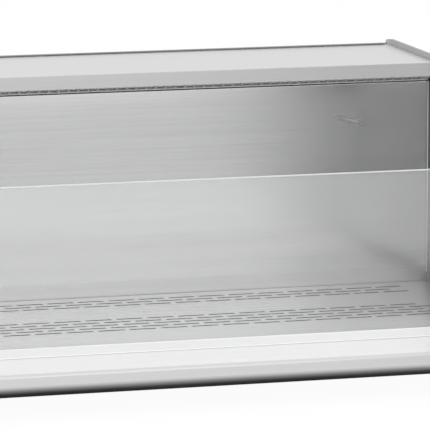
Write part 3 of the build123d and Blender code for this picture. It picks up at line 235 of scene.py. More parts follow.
# A closed mesh from rings of points: fans close its two ends, and it is repeated at every place
def ringsMesh(name, rings, places, smooth=True):
    rows, columns = rings.shape[:2]
    points = np.concatenate([rings.reshape(-1, 3), [rings[0].mean(0), rings[-1].mean(0)]])
    index = np.arange(rows * columns).reshape(rows, columns)
    beside = np.roll(index, -1, axis=1)
    quads = np.stack([index[:-1], beside[:-1], beside[1:], index[1:]], -1).reshape(-1, 4)
    ends = np.full((2, columns), rows * columns) + [[0], [1]]
    fans = np.concatenate([np.stack([beside[0], index[0], ends[0]], -1),
                           np.stack([index[-1], beside[-1], ends[1]], -1)])
    corners = points[np.concatenate([quads[:, :3], quads[:, [0, 2, 3]], fans])] - points.mean(0)
    if np.linalg.det(corners).sum() < 0:  # a negative volume means that the faces look inward
        quads, fans = quads[:, ::-1], fans[:, ::-1]
    places = np.asarray(places, float)
    lift = np.arange(len(places))[:, None, None] * len(points)
    quads, fans = (quads + lift).reshape(-1, 4), (fans + lift).reshape(-1, 3)
    return plainMesh(name, (points + places[:, None]).reshape(-1, 3), quads, fans, smooth=smooth)


# An outline scaled and set at each (height, scale) step along an axis
def stackRings(outline, steps, axis):
    heights, scales = np.array(steps).T
    rings = np.empty((len(steps), len(outline), 3))
    rings[..., axis] = heights[:, None]
    first, second = [k for k in range(3) if k != axis]
    rings[..., first] = scales[:, None] * outline[:, 0]
    rings[..., second] = scales[:, None] * outline[:, 1]
    return rings


# A rounded oblong: |u/a|^power + |v/b|^power = 1
def roundedOutline(a, b, power, count):
    turn = np.linspace(0, 2 * np.pi, count, endpoint=False)
    u, v = np.cos(turn), np.sin(turn)
    across, up = np.sign(u) * np.abs(u) ** (2 / power), np.sign(v) * np.abs(v) ** (2 / power)
    return np.stack([a * across, b * up], -1)


# A ring of round section, its thickness rippled round the ring
def ringMesh(name, radius, thick, centre, ripple=0.0, waves=0, axis=2, around=48, section=12):
    turn, roll = np.meshgrid(np.linspace(0, 2 * np.pi, around, endpoint=False),
                             np.linspace(0, 2 * np.pi, section, endpoint=False), indexing="ij")
    bulge = thick * (1 + ripple * np.cos(waves * turn))
    reach = radius + bulge * np.cos(roll)
    across = [reach * np.cos(turn), reach * np.sin(turn)]
    points = np.stack(across[:axis] + [bulge * np.sin(roll)] + across[axis:], -1)
    points = points + np.asarray(centre, float)
    if axis != 1:  # the other way round the section, so that the faces look outward
        points = points[:, ::-1]
    return closedGrid(name, points)


def addThing(name, mesh, made):
    thing = bpy.data.objects.new(name, mesh)
    scene.collection.objects.link(thing)
    mesh.materials.append(made)
    return thing


def addPiece(mesh, made, body="case"):
    thing = addThing(mesh.name, mesh, made)
    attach(thing, body)


# Stage: white behind, a floor for the eye, a floor and a card for the steel to reflect
stageLook = dict(white=0.99, floorHalf=14.0, floorReal=0.035, cloth=0.95, eyeFloor=-0.0005,
                 steelFloor=-0.0015)


def stagePlane(name, corners, made, *seenBy):
    mesh = bpy.data.meshes.new(name)
    mesh.from_pydata(corners, [], [(0, 1, 2, 3)])
    thing = addThing(name, mesh, made)
    for ray in ("camera", "diffuse", "glossy", "transmission", "shadow"):
        setattr(thing, "visible_" + ray, ray in seenBy)


def flatPlane(name, height, made, *seenBy):
    far = stageLook["floorHalf"]
    corners = [(x, y, height) for x, y in ((-far, -far), (far, -far), (far, far), (-far, far))]
    stagePlane(name, corners, made, *seenBy)


made, shades = newMaterial("floorSeen")
cloth = shades.add("BsdfDiffuse", None, {"Color": shadeOf(stageLook["cloth"])})
shades.close(shades.mix(stageLook["floorReal"], shades.glow(shadeOf(1.0), stageLook["white"]), cloth))
flatPlane("floorForEye", stageLook["eyeFloor"], made, "camera")

# The floor that steel sees: a painted shadow under the case, a slanted dark patch ahead on the right, another
# beside
floorLook = dict(under=0.008, open=0.98, reach=0.13, slant=0.27, pivot=0.75, patch=(0.58, 0.87),
                 patchNear=(-0.9, -0.55), patchFar=(-6.0, -4.5), beside=(0.06, 0.16),
                 besideAhead=(-1.6, -1.2), besideBehind=(0.1, 0.3), besideShare=0.8)
made, shades = newMaterial("floorShone")
spot, (x, y, z) = shades.place()
half, rear = cadBox[1][0], cadBox[1][1]
# painted shadow: dark under the case, rising to the open floor within a short reach
outsidePaintedShadow = (x.size() - half).most(y.size() - rear).rise(0.0, floorLook["reach"])
along = x + (y + floorLook["pivot"]) * floorLook["slant"]
patch = along.rise(*floorLook["patch"]) * (1 - y.rise(*floorLook["patchNear"]))
patch = patch * y.rise(*floorLook["patchFar"])
beside = (x - half).rise(*floorLook["beside"]) * y.rise(*floorLook["besideAhead"])
beside = beside * (1 - y.rise(*floorLook["besideBehind"])) * floorLook["besideShare"]
bright = floorLook["open"] * (1 - patch.most(beside))
shades.close(shades.glow(floorLook["under"] + outsidePaintedShadow * bright))
flatPlane("floorForSteel", stageLook["steelFloor"], made, "diffuse", "glossy", "transmission")

# A dark card ahead on the right with soft edges, seen only by rays that the deck sends up again
cardLook = dict(at=-1.6, left=0.84, leftSoft=0.24, right=2.2, low=0.22, lowSoft=0.06, high=0.72,
                highSoft=0.17, shade=0.02)
left, right, low, high = (cardLook[side] for side in ("left", "right", "low", "high"))
made, shades = newMaterial("cardDark")
spot, (x, y, z) = shades.place()
edge = x.rise(left, left + cardLook["leftSoft"]) * z.rise(low, low + cardLook["lowSoft"])
edge = edge * (1 - z.rise(high - cardLook["highSoft"], high))
dark = shades.glow(shadeOf(1.0), cardLook["shade"])
shades.close(shades.mix(edge, shades.add("BsdfTransparent"), dark))
corners = [(x, cardLook["at"], z) for x, z in ((left, low), (right, low), (right, high), (left, high))]
stagePlane("cardRight", corners, made, "glossy")

# Studio: the eye sees white, everything else a grey sky, brighter in a panel behind and in a band ahead
skyLook = dict(stops=((0.0, 0.75), (0.5, 0.75), (0.58, 1.0), (1.0, 1.1)), behind=(0.15, 0.5), panel=0.7,
               panelLow=(0.35, 0.5), panelHigh=(0.75, 0.9), ahead=0.42, aheadLow=(0.01, 0.06),
               aheadHigh=(0.35, 0.5))
scene.world = bpy.data.worlds.new("studio")
shades = Shades(scene.world)
ray = shades.add("TexCoord", out="Generated")
height = shades.part(ray, 2)
behind = shades.part(ray, 1).rise(*skyLook["behind"])
panel = behind * height.rise(*skyLook["panelLow"]) * (1 - height.rise(*skyLook["panelHigh"]))
ahead = (1 - behind) * height.rise(*skyLook["aheadLow"]) * (1 - height.rise(*skyLook["aheadHigh"]))
sky = shades.add("ValToRGB", {"stops": [(place, (grey,) * 3) for place, grey in skyLook["stops"]]},
                 {"Fac": height * 0.5 + 0.5})
soft = shades.glow(sky * (1 + panel * skyLook["panel"] + ahead * skyLook["ahead"]), kind="Background")
plain = shades.glow(shadeOf(1.0), stageLook["white"], kind="Background")
shades.close(shades.mix(shades.add("LightPath", out="Is Camera Ray"), soft, plain), "OutputWorld")

# One wide soft light overhead, kept out of the reflections
lightLook = dict(place=(0.0, -0.2, 2.6), aim=(0.0, 0.0, 0.1), wide=2.4, deep=1.6, power=17.0)
lamp = bpy.data.lights.new("topSoft", "AREA")
lamp.shape, lamp.energy = "RECTANGLE", lightLook["power"]
lamp.size, lamp.size_y = lightLook["wide"], lightLook["deep"]
above = bpy.data.objects.new("topSoft", lamp)
above.visible_glossy = False
above.location = lightLook["place"]
aim = Vector(lightLook["aim"]) - Vector(lightLook["place"])
above.rotation_euler = aim.to_track_quat("-Z", "Y").to_euler()
scene.collection.objects.link(above)
print("stage and studio set")


# 1 at the edge of the nearest slot, 0 beyond its rim: staggered rows in a rear and a front group
def slotRims(x, y, slots):
    front = 1 - y.rise(-slots["middle"], slots["middle"])  # 1 in the front group
    rows = (slots["rear"] - y - front * (slots["rear"] - slots["front"])) / slots["rowPitch"]
    row = rows.step(front * slots["moreRows"] + slots["lastRow"])
    odd = (row + front) % 2.0
    columns = (slots["last"] - odd * slots["pitch"] / 2 - x) / slots["pitch"]
    column = columns.step(slots["count"] - 1 - odd)
    beside = (columns - column).size() * slots["pitch"] - slots["half"][0]
    ahead = (rows - row).size() * slots["rowPitch"] - slots["half"][1]
    return 1 - beside.most(ahead).rise(0.0, slots["rim"])


# Stainless sheet: fine lines along one axis, a faint cloud, slightly uneven shine
def steelFinish(name, look, along=0):
    made, shades = newMaterial(name)
    spot, (x, y, z) = shades.place()
    stretch, coarse = [look["across"]] * 3, [look["across"] * 0.22] * 3
    stretch[along], coarse[along] = look["along"], look["along"] * 0.5
    lines = shades.noise(spot, stretch, 4.0, 0.6)
    bands = shades.noise(spot, coarse, 2.0)
    cloud = shades.noise(spot, (look["cloud"],) * 3, 2.0)
    rough = look["rough"] + (lines - 0.5) * look["roughVary"] + (cloud - 0.5) * look["cloudRough"]
    tone = (lines * 0.5 + bands * 0.5 - 0.5) * look["toneVary"] + (cloud - 0.5) * look["cloudTone"] + 0.5
    color = shades.blend(tone, shadeOf(look["color"], look["deep"]), shadeOf(look["color"], look["pale"]))
    metal = look["metal"]
    if "foot" in look:  # less polished low down, and painted shade darkens it there toward both ends
        foot = look["foot"]
        rough = rough + (1 - z.rise(*foot["dull"])) * foot["more"]
        # painted shade in the lower corners of the well
        corner = x.size().rise(*foot["ends"]) * (1 - z.rise(*foot["dark"]))
        color = shades.blend(corner * foot["share"], color, shadeOf(foot["shade"]))
    if "bendHighlightsAndSeamShade" in look:  # bands of another grey outside two places front to back: painted highlights on bends, a painted shadow line at a seam
        inner, outer, soft, grey = look["bendHighlightsAndSeamShade"]
        bendHighlightsAndSeamShade = y.rise(inner - soft, inner) + (1 - y.rise(outer, outer + soft))
        color = shades.blend(bendHighlightsAndSeamShade.held(), color, shadeOf(grey))
    if "front" in look:  # faces that look ahead take a paler grey and less metal: painted light on the front of the cover
        ahead = (0 - shades.facing(1)).rise(*look["paintedLightFacing"])
        color = shades.blend(ahead, color, shades.blend(tone, *map(shadeOf, look["front"])))
        metal = metal - ahead * look["frontLess"]
    bump = shades.bump(lines * 0.6 + bands * 0.4, look["bump"], look["depth"])
    body = shades.surface(Base_Color=color, Metallic=metal, Roughness=rough, Normal=bump)
    if "slots" in look:  # punched slots: dull cut edges, dark partly in their own colour and partly as painted shade, a painted shaded rim round each, and painted shade toward both ends
        slots = look["slots"]
        near = slotRims(x, y, slots)
        cutEdgeColourAndShade = near * (1 - shades.facing(2).size().rise(*slots["upright"]))
        ends = x.size().rise(*slots["ends"]) * y.rise(*slots["endsAhead"]) * slots["endShade"]
        dull = shades.surface(Base_Color=shadeOf(slots["dull"]), Roughness=0.6, Specular_IOR_Level=0.1)
        body = shades.mix((near * slots["shade"] + cutEdgeColourAndShade + ends).held(), body, dull)
    shades.close(body)
    return made


skinLook = dict(color=(0.66, 0.661, 0.66), metal=1.0, rough=0.11, across=900.0, along=4.0, roughVary=0.08,
                cloud=3.1, cloudRough=0.05, cloudTone=0.03, toneVary=0.2, deep=0.72, pale=1.28, bump=0.16,
                depth=0.00012)
# the wall's foot: rougher, with painted shade in its lower corners
footDullAndShadeLook = dict(dull=(0.085, 0.125), more=0.2, ends=(0.38, 0.58), dark=(0.12, 0.30), share=0.24, shade=0.05)
dress(steelFinish("wallSteel", dict(skinLook, rough=0.17, toneVary=0.5, foot=footDullAndShadeLook)), "back_wall")
# the top cover: its front faces are painted lighter than its top, as painted light
topLook = dict(skinLook, color=(0.45, 0.452, 0.448), metal=0.5, rough=0.26, paintedLightFacing=(0.4, 0.7),
               frontLess=0.3, front=((0.44, 0.441, 0.44), (0.67, 0.672, 0.67)))
dress(steelFinish("topSteel", topLook), "top_cover")
frontLook = dict(skinLook, rough=0.3)
# front panel: a painted shadow line at its seam with the channel; channel: painted highlights on its two
# bends
dress(steelFinish("frontSteel", dict(frontLook, bendHighlightsAndSeamShade=(-0.3244, -1.0, 0.0008, 0.1))), "front_panel")
dress(steelFinish("channelSteel", dict(frontLook, bendHighlightsAndSeamShade=(-0.3020, -0.3234, 0.0006, 0.86))), "glass_channel")
dress(steelFinish("endSteel", skinLook, along=1), "housing_end_left", "housing_end_right")
dress(steelFinish("rearSteel", dict(skinLook, color=(0.52, 0.522, 0.52), rough=0.32)), "rear_cover")

# The deck's slots: places of the rear and the front group, pitches, halves of one slot, and the painted shade
# of their rims, their cut edges and the deck's ends
slotLook = dict(rear=0.0983, front=-0.0558, middle=0.0001, rowPitch=0.0212, lastRow=2, moreRows=2, last=0.56,
                pitch=0.05, count=23, half=(0.02, 0.00225), rim=0.0022, shade=0.9, dull=0.02,
                upright=(0.3, 0.6), ends=(0.37, 0.60), endsAhead=(-0.19, -0.09), endShade=0.34)
deckLook = dict(skinLook, color=(0.92, 0.922, 0.918), metal=0.88, rough=0.28, across=850.0, along=5.0,
                roughVary=0.10, bump=0.20)
dress(steelFinish("deckSteel", dict(deckLook, slots=slotLook)), "display_deck")
# parts under the deck: a darker copy of the deck's steel, painted shade for the dark beneath it
shadedInsideLook = dict(deckLook, metal=1.0, color=(0.38, 0.382, 0.38))
dress(steelFinish("linerSteel", shadedInsideLook), "well_liner", "base_pan")
dress(steelFinish("bearerSteel", dict(shadedInsideLook, color=(0.4, 0.402, 0.4)), along=1), "deck_bearers")
print("steel done")


# Glass: clear, faintly grey green, mirror by angle, a thin haze that is denser high up: partly a real haze,
# partly a painted sheen in place of reflections
def clearBody(shades, spot, height, look):
    tint = shades.add("BsdfTransparent", None, {"Color": shadeOf(look["tint"])})
    shine = shades.add("BsdfGlossy", None, {"Color": shadeOf(1.0), "Roughness": 0.0})
    facing = shades.add("LayerWeight", None, {"Blend": 0.5}, out="Facing")
    body = shades.mix(look["mirror"] + facing ** 5 * (1 - look["mirror"]), tint, shine)
    smear = shades.noise(spot, (look["smear"],) * 3, 3.0, 0.55)
    # haze and painted sheen, denser high up
    hazeAndPaintedSheen = look["hazeLow"] + height.rise(*look["hazeFrom"]) * (look["haze"] - look["hazeLow"])
    haze = shades.surface(Base_Color=shadeOf(look["hazeColor"]), Roughness=0.6)
    return shades.mix(hazeAndPaintedSheen * (0.8 + smear * 0.4), body, haze)


# Front glass: its top edge is ground
paneLook = dict(tint=(0.946, 0.949, 0.948), mirror=0.04, smear=7.0, haze=0.13, hazeLow=0.03,
                hazeFrom=(0.15, 0.235), hazeColor=(0.906, 0.91, 0.91), edge=(0.55, 0.58, 0.57), edgeRough=0.6,
                edgeDeep=0.0012, edgeSoft=0.0006, edgeShare=0.85)
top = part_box("front_glass")[1].z
made, shades = newMaterial("frontPane")
spot, (x, y, z) = shades.place()
ground = shades.surface(Base_Color=shadeOf(paneLook["edge"]), Roughness=paneLook["edgeRough"])
edge = z.rise(top - paneLook["edgeDeep"], top - paneLook["edgeSoft"]) * paneLook["edgeShare"]
shades.close(shades.mix(edge, clearBody(shades, spot, z, paneLook), ground))
dress(made, "front_glass")

# Side glass: printed black over the housing and the open end of the top cover, a frosted margin above the
# print, and ground edges with two painted highlight lines along them
sideLook = dict(paneLook, haze=0.015, hazeLow=0.01, printed=(0.012, 0.012, 0.013), printRough=0.08,
                ahead=0.01, soft=0.0002, margin=0.008, frosted=(0.42, 0.425, 0.423), frostShare=0.75,
                upright=(0.4, 0.6), lines=((0.0032, 0.0008, 0.002), (0.0068, 0.0008, 0.0018)), fainterGlint=0.55,
                edgeShare=0.9, edgeDark=(0.12, 0.123, 0.123), edgeGlint=(0.31, 0.32, 0.318))
wall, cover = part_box("back_wall")[0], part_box("top_cover")[0]
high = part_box("side_glass_right")[1]
made, shades = newMaterial("sidePane")
spot, (x, y, z) = shades.place()


def past(part, place):
    return part.rise(place - sideLook["soft"], place + sideLook["soft"])


above = past(z, high.z - sideLook["margin"])
housing = past(y, wall.y - sideLook["ahead"])
coverEnd = past(y, cover.y) * past(z, cover.z)
printed = shades.surface(Base_Color=shadeOf(sideLook["printed"]), Roughness=sideLook["printRough"])
body = shades.mix(housing.most(coverEnd) * (1 - above), clearBody(shades, spot, z, sideLook), printed)
frosted = shades.surface(Base_Color=shadeOf(sideLook["frosted"]), Roughness=0.5)
body = shades.mix(housing * above * sideLook["frostShare"], body, frosted)
deep = high.x - x.size()  # how far in from the outer face
# painted highlights: two paler lines along the ground edge
line, fainterGlint = (1 - (deep - at).size().rise(near, far) for at, near, far in sideLook["lines"])
tone = shades.blend(line + fainterGlint * sideLook["fainterGlint"], shadeOf(sideLook["edgeDark"]),
                    shadeOf(sideLook["edgeGlint"]))
ground = shades.surface(Base_Color=tone, Roughness=sideLook["edgeRough"], Specular_IOR_Level=0.12)
edge = 1 - shades.facing(0).size().rise(*sideLook["upright"])
shades.close(shades.mix(edge * sideLook["edgeShare"], body, ground))
dress(made, "side_glass_left", "side_glass_right")
print("glass done")


# Plastics, rubber and paint: fine grain, slightly uneven shine
def mouldedFinish(name, look, on=()):
    made, shades = newMaterial(name)
    spot, (x, y, z) = shades.place()
    grain = shades.noise(spot, (look["grain"],) * 3, 3.0, 0.6)
    cloud = shades.noise(spot, (9.0,) * 3, 2.0)
    color = look["color"]
    mixed = shades.blend(grain * 0.5 + cloud * 0.5, shadeOf(color), shadeOf(color, look["fade"], 0.004))
    if "paintedLightFoot" in look:  # painted light along its lower edge, against the shade in the gap below
        mixed = shades.blend(1 - z.rise(*look["paintedLightFoot"]), mixed, shadeOf(0.95))
    rough = look["rough"] + (grain - 0.5) * 0.12 + (cloud - 0.5) * 0.08
    bump = shades.bump(grain, look["bump"], look["depth"])
    shades.close(shades.surface(Base_Color=mixed, Roughness=rough, Normal=bump))
    dress(made, *on)
    return made


trimLook = dict(color=(0.025, 0.026, 0.027), fade=1.6, rough=0.42, grain=2600.0, bump=0.25, depth=0.0001)
mouldedFinish("darkTrim", trimLook, ["side_rail_left", "side_rail_right", "base_end_left", "base_end_right"])
mouldedFinish("rubber", dict(trimLook, color=(0.02, 0.02, 0.021), rough=0.62, grain=1500.0, bump=0.35),
              ["compressor_mounts"])
silicone = mouldedFinish("silicone", dict(trimLook, color=(0.62, 0.63, 0.62), fade=1.1, rough=0.34,
                                          grain=300.0, bump=0.1), ["glass_gasket"])
feet = ["foot_" + end + "_" + side for end in ("front", "rear") for side in ("left", "right")]
blackPlastic = mouldedFinish("blackPlastic", dict(trimLook, color=(0.018, 0.018, 0.019), rough=0.38,
                                                  grain=3200.0),
                             ["control_bezel", "rocker_frame", "cable_gland"] + feet)
mouldedFinish("rotorPlastic", dict(trimLook, color=(0.05, 0.052, 0.055), rough=0.45),
              ["blower_rotor_left", "blower_rotor_right", "condenser_fan"])
mouldedFinish("greyPlastic", dict(trimLook, color=(0.30, 0.305, 0.305), fade=1.15, rough=0.5), ["drain_pipe"])
mouldedFinish("grilleGrey", dict(trimLook, color=(0.4, 0.403, 0.403), fade=1.1, rough=0.55,
                                 paintedLightFoot=(0.4146, 0.4160)), ["outlet_grille"])
mouldedFinish("buttonGrey", dict(trimLook, color=(0.42, 0.43, 0.44), fade=1.12, rough=0.5),
              ["button_set", "button_up", "button_down", "button_defrost"])
blackPaint = mouldedFinish("blackPaint", dict(trimLook, color=(0.015, 0.015, 0.016), rough=0.3, grain=420.0,
                                              bump=0.3, depth=0.0003),
                           ["compressor", "blower_motor", "fan_motor"])

# Rocker: black with a white bar and a white ring printed on its two halves
inkLook = dict(up=0.0048, bar=(0.0003, 0.0017), ring=0.0014, line=0.00028, soft=0.00008,
               white=(0.8, 0.8, 0.79), deep=(0.016, 0.016, 0.017), pale=(0.026, 0.026, 0.027), grain=3200.0)
low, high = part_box("rocker_switch")
middle = (low + high) / 2
made, shades = newMaterial("rockerBlack")
spot, (x, y, z) = shades.place()
x, z = x - middle.x, z - middle.z


def inside(part, half):
    return 1 - part.size().rise(half - inkLook["soft"], half + inkLook["soft"])


bar = inside(x, inkLook["bar"][0]) * inside(z - inkLook["up"], inkLook["bar"][1])
reach = (x * x + (z + inkLook["up"]) ** 2) ** 0.5
ink = (bar + inside(reach - inkLook["ring"], inkLook["line"])).held()
grain = shades.noise(spot, (inkLook["grain"],) * 3)
plain = shades.blend(grain, shadeOf(inkLook["deep"]), shadeOf(inkLook["pale"]))
shades.close(shades.surface(Base_Color=shades.blend(ink, plain, shadeOf(inkLook["white"])),
                            Roughness=0.32 + grain * 0.1, Normal=shades.bump(grain, 0.2, 0.0001)))
dress(made, "rocker_switch")


# Foam: pale cream cells with a skin
foamLook = dict(cells=420.0, cloud=14.0, deep=(0.80, 0.71, 0.47), pale=(0.90, 0.84, 0.63), rough=0.85,
                depth=0.0008)
made, shades = newMaterial("foamCells")
spot = shades.spot()
cells = shades.add("TexVoronoi", {"feature": "SMOOTH_F1"}, {"Vector": spot, "Scale": foamLook["cells"]})
share = cells * 0.8 + shades.noise(spot, (foamLook["cloud"],) * 3) * 0.4
color = shades.blend(share, shadeOf(foamLook["deep"]), shadeOf(foamLook["pale"]))
shades.close(shades.surface(Base_Color=color, Roughness=foamLook["rough"] - cells * 0.1,
                            Normal=shades.bump(cells, 0.5, foamLook["depth"])))
dress(made, "base_foam", "duct_foam", "top_foam")


# Bare metals of the machinery: patches of a second tone and a fine grain
def metalFinish(name, look, on):
    made, shades = newMaterial(name)
    spot = shades.spot()
    patch = shades.noise(spot, (look["patch"],) * 3, 4.0, 0.6)
    fine = shades.noise(spot, (1800.0,) * 3, 2.0)
    mixed = shades.blend(patch.rise(0.35, 0.7), shadeOf(look["color"]), shadeOf(look["second"]))
    rough = look["rough"] + (patch - 0.5) * 0.25 + (fine - 0.5) * 0.1
    shades.close(shades.surface(Base_Color=mixed, Metallic=1.0, Roughness=rough,
                                Normal=shades.bump(fine, 0.15, 0.00008)))
    dress(made, *on)
    return made


metalFinish("finAluminium", dict(color=(0.82, 0.83, 0.84), second=(0.70, 0.71, 0.73), rough=0.34, patch=60.0),
            ["evaporator_fins", "condenser_fins"])
copper = metalFinish("copperTube", dict(color=(0.85, 0.44, 0.28), second=(0.55, 0.27, 0.18), rough=0.3,
                                        patch=55.0),
                     ["evaporator_tubes", "condenser_tubes", "suction_line", "discharge_line", "liquid_line",
                      "filter_drier"])
plainSteel = metalFinish("plainSteel", dict(color=0.62, second=(0.5, 0.5, 0.51), rough=0.25, patch=40.0),
                         ["blower_shaft"])
metalFinish("probeSteel", dict(color=0.47, second=(0.38, 0.38, 0.385), rough=0.32, patch=70.0),
            ["temperature_probe", "probe_clips"])

# Zinc sheet: crystal patches, each with its own grey and shine
zincLook = dict(crystal=110.0, deep=(0.50, 0.52, 0.54), pale=(0.72, 0.74, 0.76), rough=0.32, roughVary=0.2)
made, shades = newMaterial("zincSheet")
crystal = shades.add("TexVoronoi", None, {"Vector": shades.spot(), "Scale": zincLook["crystal"]}, out="Color")
shade = shades.add("SeparateColor", None, {"Color": crystal})
color = shades.blend(shade, shadeOf(zincLook["deep"]), shadeOf(zincLook["pale"]))
shades.close(shades.surface(Base_Color=color, Metallic=1.0,
                            Roughness=zincLook["rough"] + shade * zincLook["roughVary"],
                            Normal=shades.bump(shade, 0.1, 0.0001)))
dress(made, "blower_scroll", "condenser_shroud", "control_box")

# Display lens: smoked, glossy
lensLook = dict(cloud=60.0, pale=(0.035, 0.006, 0.006), deep=(0.02, 0.004, 0.004), rough=0.06, coat=0.6)
made, shades = newMaterial("smokedLens")
cloud = shades.noise(shades.spot(), (lensLook["cloud"],) * 3)
color = shades.blend(cloud, shadeOf(lensLook["pale"]), shadeOf(lensLook["deep"]))
shades.close(shades.surface(Base_Color=color, Roughness=lensLook["rough"] + cloud * 0.04,
                            Coat_Weight=lensLook["coat"]))
dress(made, "display_window")

# Circuit board: green lacquer over copper tracks
boardLook = dict(tracks=90.0, gap=0.03, deep=(0.01, 0.11, 0.04), pale=(0.03, 0.24, 0.09), rough=0.25)
made, shades = newMaterial("boardLacquer")
spot, (x, y, z) = shades.place()
upright = shades.add("CombineXYZ", None, {0: x, 1: z, 2: y})
tracks = shades.add("TexBrick", {"offset": 0.5}, {"Vector": upright, "Scale": boardLook["tracks"],
                                                  "Mortar Size": boardLook["gap"]}, out="Fac")
color = shades.blend(tracks, shadeOf(boardLook["deep"]), shadeOf(boardLook["pale"]))
shades.close(shades.surface(Base_Color=color, Roughness=boardLook["rough"] + tracks * 0.1,
                            Normal=shades.bump(tracks, 0.3, 0.0001)))
dress(made, "control_board")
print("machinery finishes done")


# A short taper at both ends of an upright bead: (height, scale) steps
def beadEnds(low, high, soft=0.0006, tip=0.5):
    return [(low, tip), (low + soft, 1), (high - soft, 1), (high, tip)]


# Seal strip of soft rubber along the rear edge of the top, where the next cover or a sliding lid closes
sealLook = dict(reach=0.636, y=0.3478, foot=0.44745, half=(0.0026, 0.0014), wave=0.006, taper=0.003, tip=0.45,
                waves=(61, 23), color=(0.19, 0.19, 0.192))
along = np.linspace(-sealLook["reach"], sealLook["reach"], 161)
taper = np.clip((sealLook["reach"] - np.abs(along)) / sealLook["taper"], 0, 1)
scale = sealLook["tip"] + (1 - sealLook["tip"]) * np.sqrt(1 - (1 - taper) ** 2)
wave = np.sin(along * sealLook["waves"][0]) * np.sin(along * sealLook["waves"][1])
scale = scale * (1 + sealLook["wave"] * wave)
rings = stackRings(roundedOutline(*sealLook["half"], 3.0, 20), np.stack([along, scale], -1), 0)
middle = (0.0, sealLook["y"], sealLook["foot"] + sealLook["half"][1] * (1 + sealLook["wave"]))
sealRubber = mouldedFinish("sealRubber", dict(trimLook, color=sealLook["color"], fade=1.3, rough=0.5))
addPiece(ringsMesh("rearSeal", rings, [middle]), sealRubber)

# Silicone seams: in the gap beside the front glass, and along the back wall where it meets the side glass
seamLook = dict(pane=(0.00068, 0.0043), wall=(0.0008, 0.0008), paneEnds=(0.0925, 0.3352),
                wallEnds=(0.0945, 0.4125), sunk=0.0004, ahead=0.00085)
low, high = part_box("front_glass")
gap = (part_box("side_glass_right")[0].x + high.x) / 2
rings = stackRings(roundedOutline(*seamLook["pane"], 5.0, 32), beadEnds(*seamLook["paneEnds"]), 2)
spots = [(side * gap, (low.y + high.y) / 2, 0) for side in (-1, 1)]
addPiece(ringsMesh("paneSeams", rings, spots), silicone)
low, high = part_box("back_wall")
rings = stackRings(roundedOutline(*seamLook["wall"], 2.2, 16), beadEnds(*seamLook["wallEnds"]), 2)
spots = [(side * (high.x - seamLook["sunk"]), low.y - seamLook["ahead"], 0) for side in (-1, 1)]
addPiece(ringsMesh("wallSeams", rings, spots), silicone)
print("seal and seams done")


# Honeycomb behind the outlet grille: six-sided tubes in staggered rows, in the tilted plane of the grille.
# The plane runs from low to high, each given front to back and up
combLook = dict(low=(0.1355, 0.4138), high=(0.1142, 0.4247), cell=0.0042, wall=0.00022, deep=0.0020,
                lift=0.0027, rows=4, columns=296, foot=0.0068, radius=0.5774, rise=0.866, color=0.88)
start, slope = np.array(combLook["low"]), np.subtract(combLook["high"], combLook["low"])
slope = slope / np.hypot(*slope)
normal = np.array([slope[1], -slope[0]])
start = start + normal * combLook["lift"]
turn = np.arange(6) * np.pi / 3 + np.pi / 6
outer = combLook["cell"] * combLook["radius"] - combLook["wall"] * 0.5
inner = outer - combLook["wall"]
radius, depth = np.array([(outer, 0.0), (outer, 1.0), (inner, 1.0), (inner, 0.0)]).T[..., None]
row, column = np.divmod(np.arange(combLook["rows"] * combLook["columns"])[:, None, None], combLook["columns"])
cells = np.empty((row.size, 4, 6, 3))
across = column - combLook["columns"] / 2 + 0.25 + row % 2 * 0.5
cells[..., 0] = radius * np.cos(turn) + across * combLook["cell"]
reach = radius * np.sin(turn) + combLook["foot"] + row * combLook["cell"] * combLook["rise"]
for axis in (0, 1):
    cells[..., axis + 1] = start[axis] + reach * slope[axis] + depth * combLook["deep"] * normal[axis]
index = np.arange(cells.size // 3).reshape(-1, 4, 6)
nextRing, beside = np.roll(index, -1, axis=1), np.roll(index, -1, axis=2)
quads = np.stack([index, nextRing, np.roll(nextRing, -1, axis=2), beside], -1).reshape(-1, 4)
combGrey = mouldedFinish("combGrey", dict(trimLook, color=combLook["color"], fade=1.03, rough=0.55))
addPiece(plainMesh("outletComb", cells.reshape(-1, 3), quads, smooth=False), combGrey)
print("outlet honeycomb done,", len(quads), "faces")


# Pan head screws with a cross recess: the dome sinks where the two arms of the cross run
def addScrews(name, radius, tall, spots, face):
    out, turn = np.meshgrid(np.linspace(1.0, 0.04, 15), np.linspace(0, 2 * np.pi, 64, endpoint=False),
                            indexing="ij")
    u, v = out * np.cos(turn), out * np.sin(turn)
    arm = np.minimum(np.abs(u), np.abs(v))
    cross = np.clip((0.13 - arm) / 0.05, 0, 1) * np.clip((0.60 - out) / 0.08, 0, 1)
    height = tall * (1 - out ** 4.5) ** 0.5 - cross * tall * 0.55
    rings = np.stack([radius * u, face + height, radius * v], -1)
    addPiece(ringsMesh(name, rings, [(x, 0, z) for x, z in spots]), plainSteel)


screwLook = dict(radius=0.0042, tall=0.0021, small=0.0021, smallTall=0.0011, clear=0.00003, columns=6,
                 aside=0.018, above=0.008, below=0.007, halfWay=0.25, bezelAside=0.006, bezelAbove=0.005)
low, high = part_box("rear_cover")
bezelLow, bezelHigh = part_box("control_bezel")
columns = np.linspace(low.x + screwLook["aside"], high.x - screwLook["aside"], screwLook["columns"])
spots = [(x, z) for x in columns for z in (low.z + screwLook["above"], high.z - screwLook["below"])]
spots = spots + [(x, screwLook["halfWay"]) for x in columns[[0, -1]]]
addScrews("coverScrews", screwLook["radius"], screwLook["tall"], spots, bezelLow.y + screwLook["clear"])
aside, above = screwLook["bezelAside"], screwLook["bezelAbove"]
spots = [(x, z) for x in (bezelLow.x + aside, bezelHigh.x - aside)
         for z in (bezelLow.z + above, bezelHigh.z - above)]
addScrews("bezelScrews", screwLook["small"], screwLook["smallTall"], spots, bezelHigh.y + screwLook["clear"])
print("screws done")


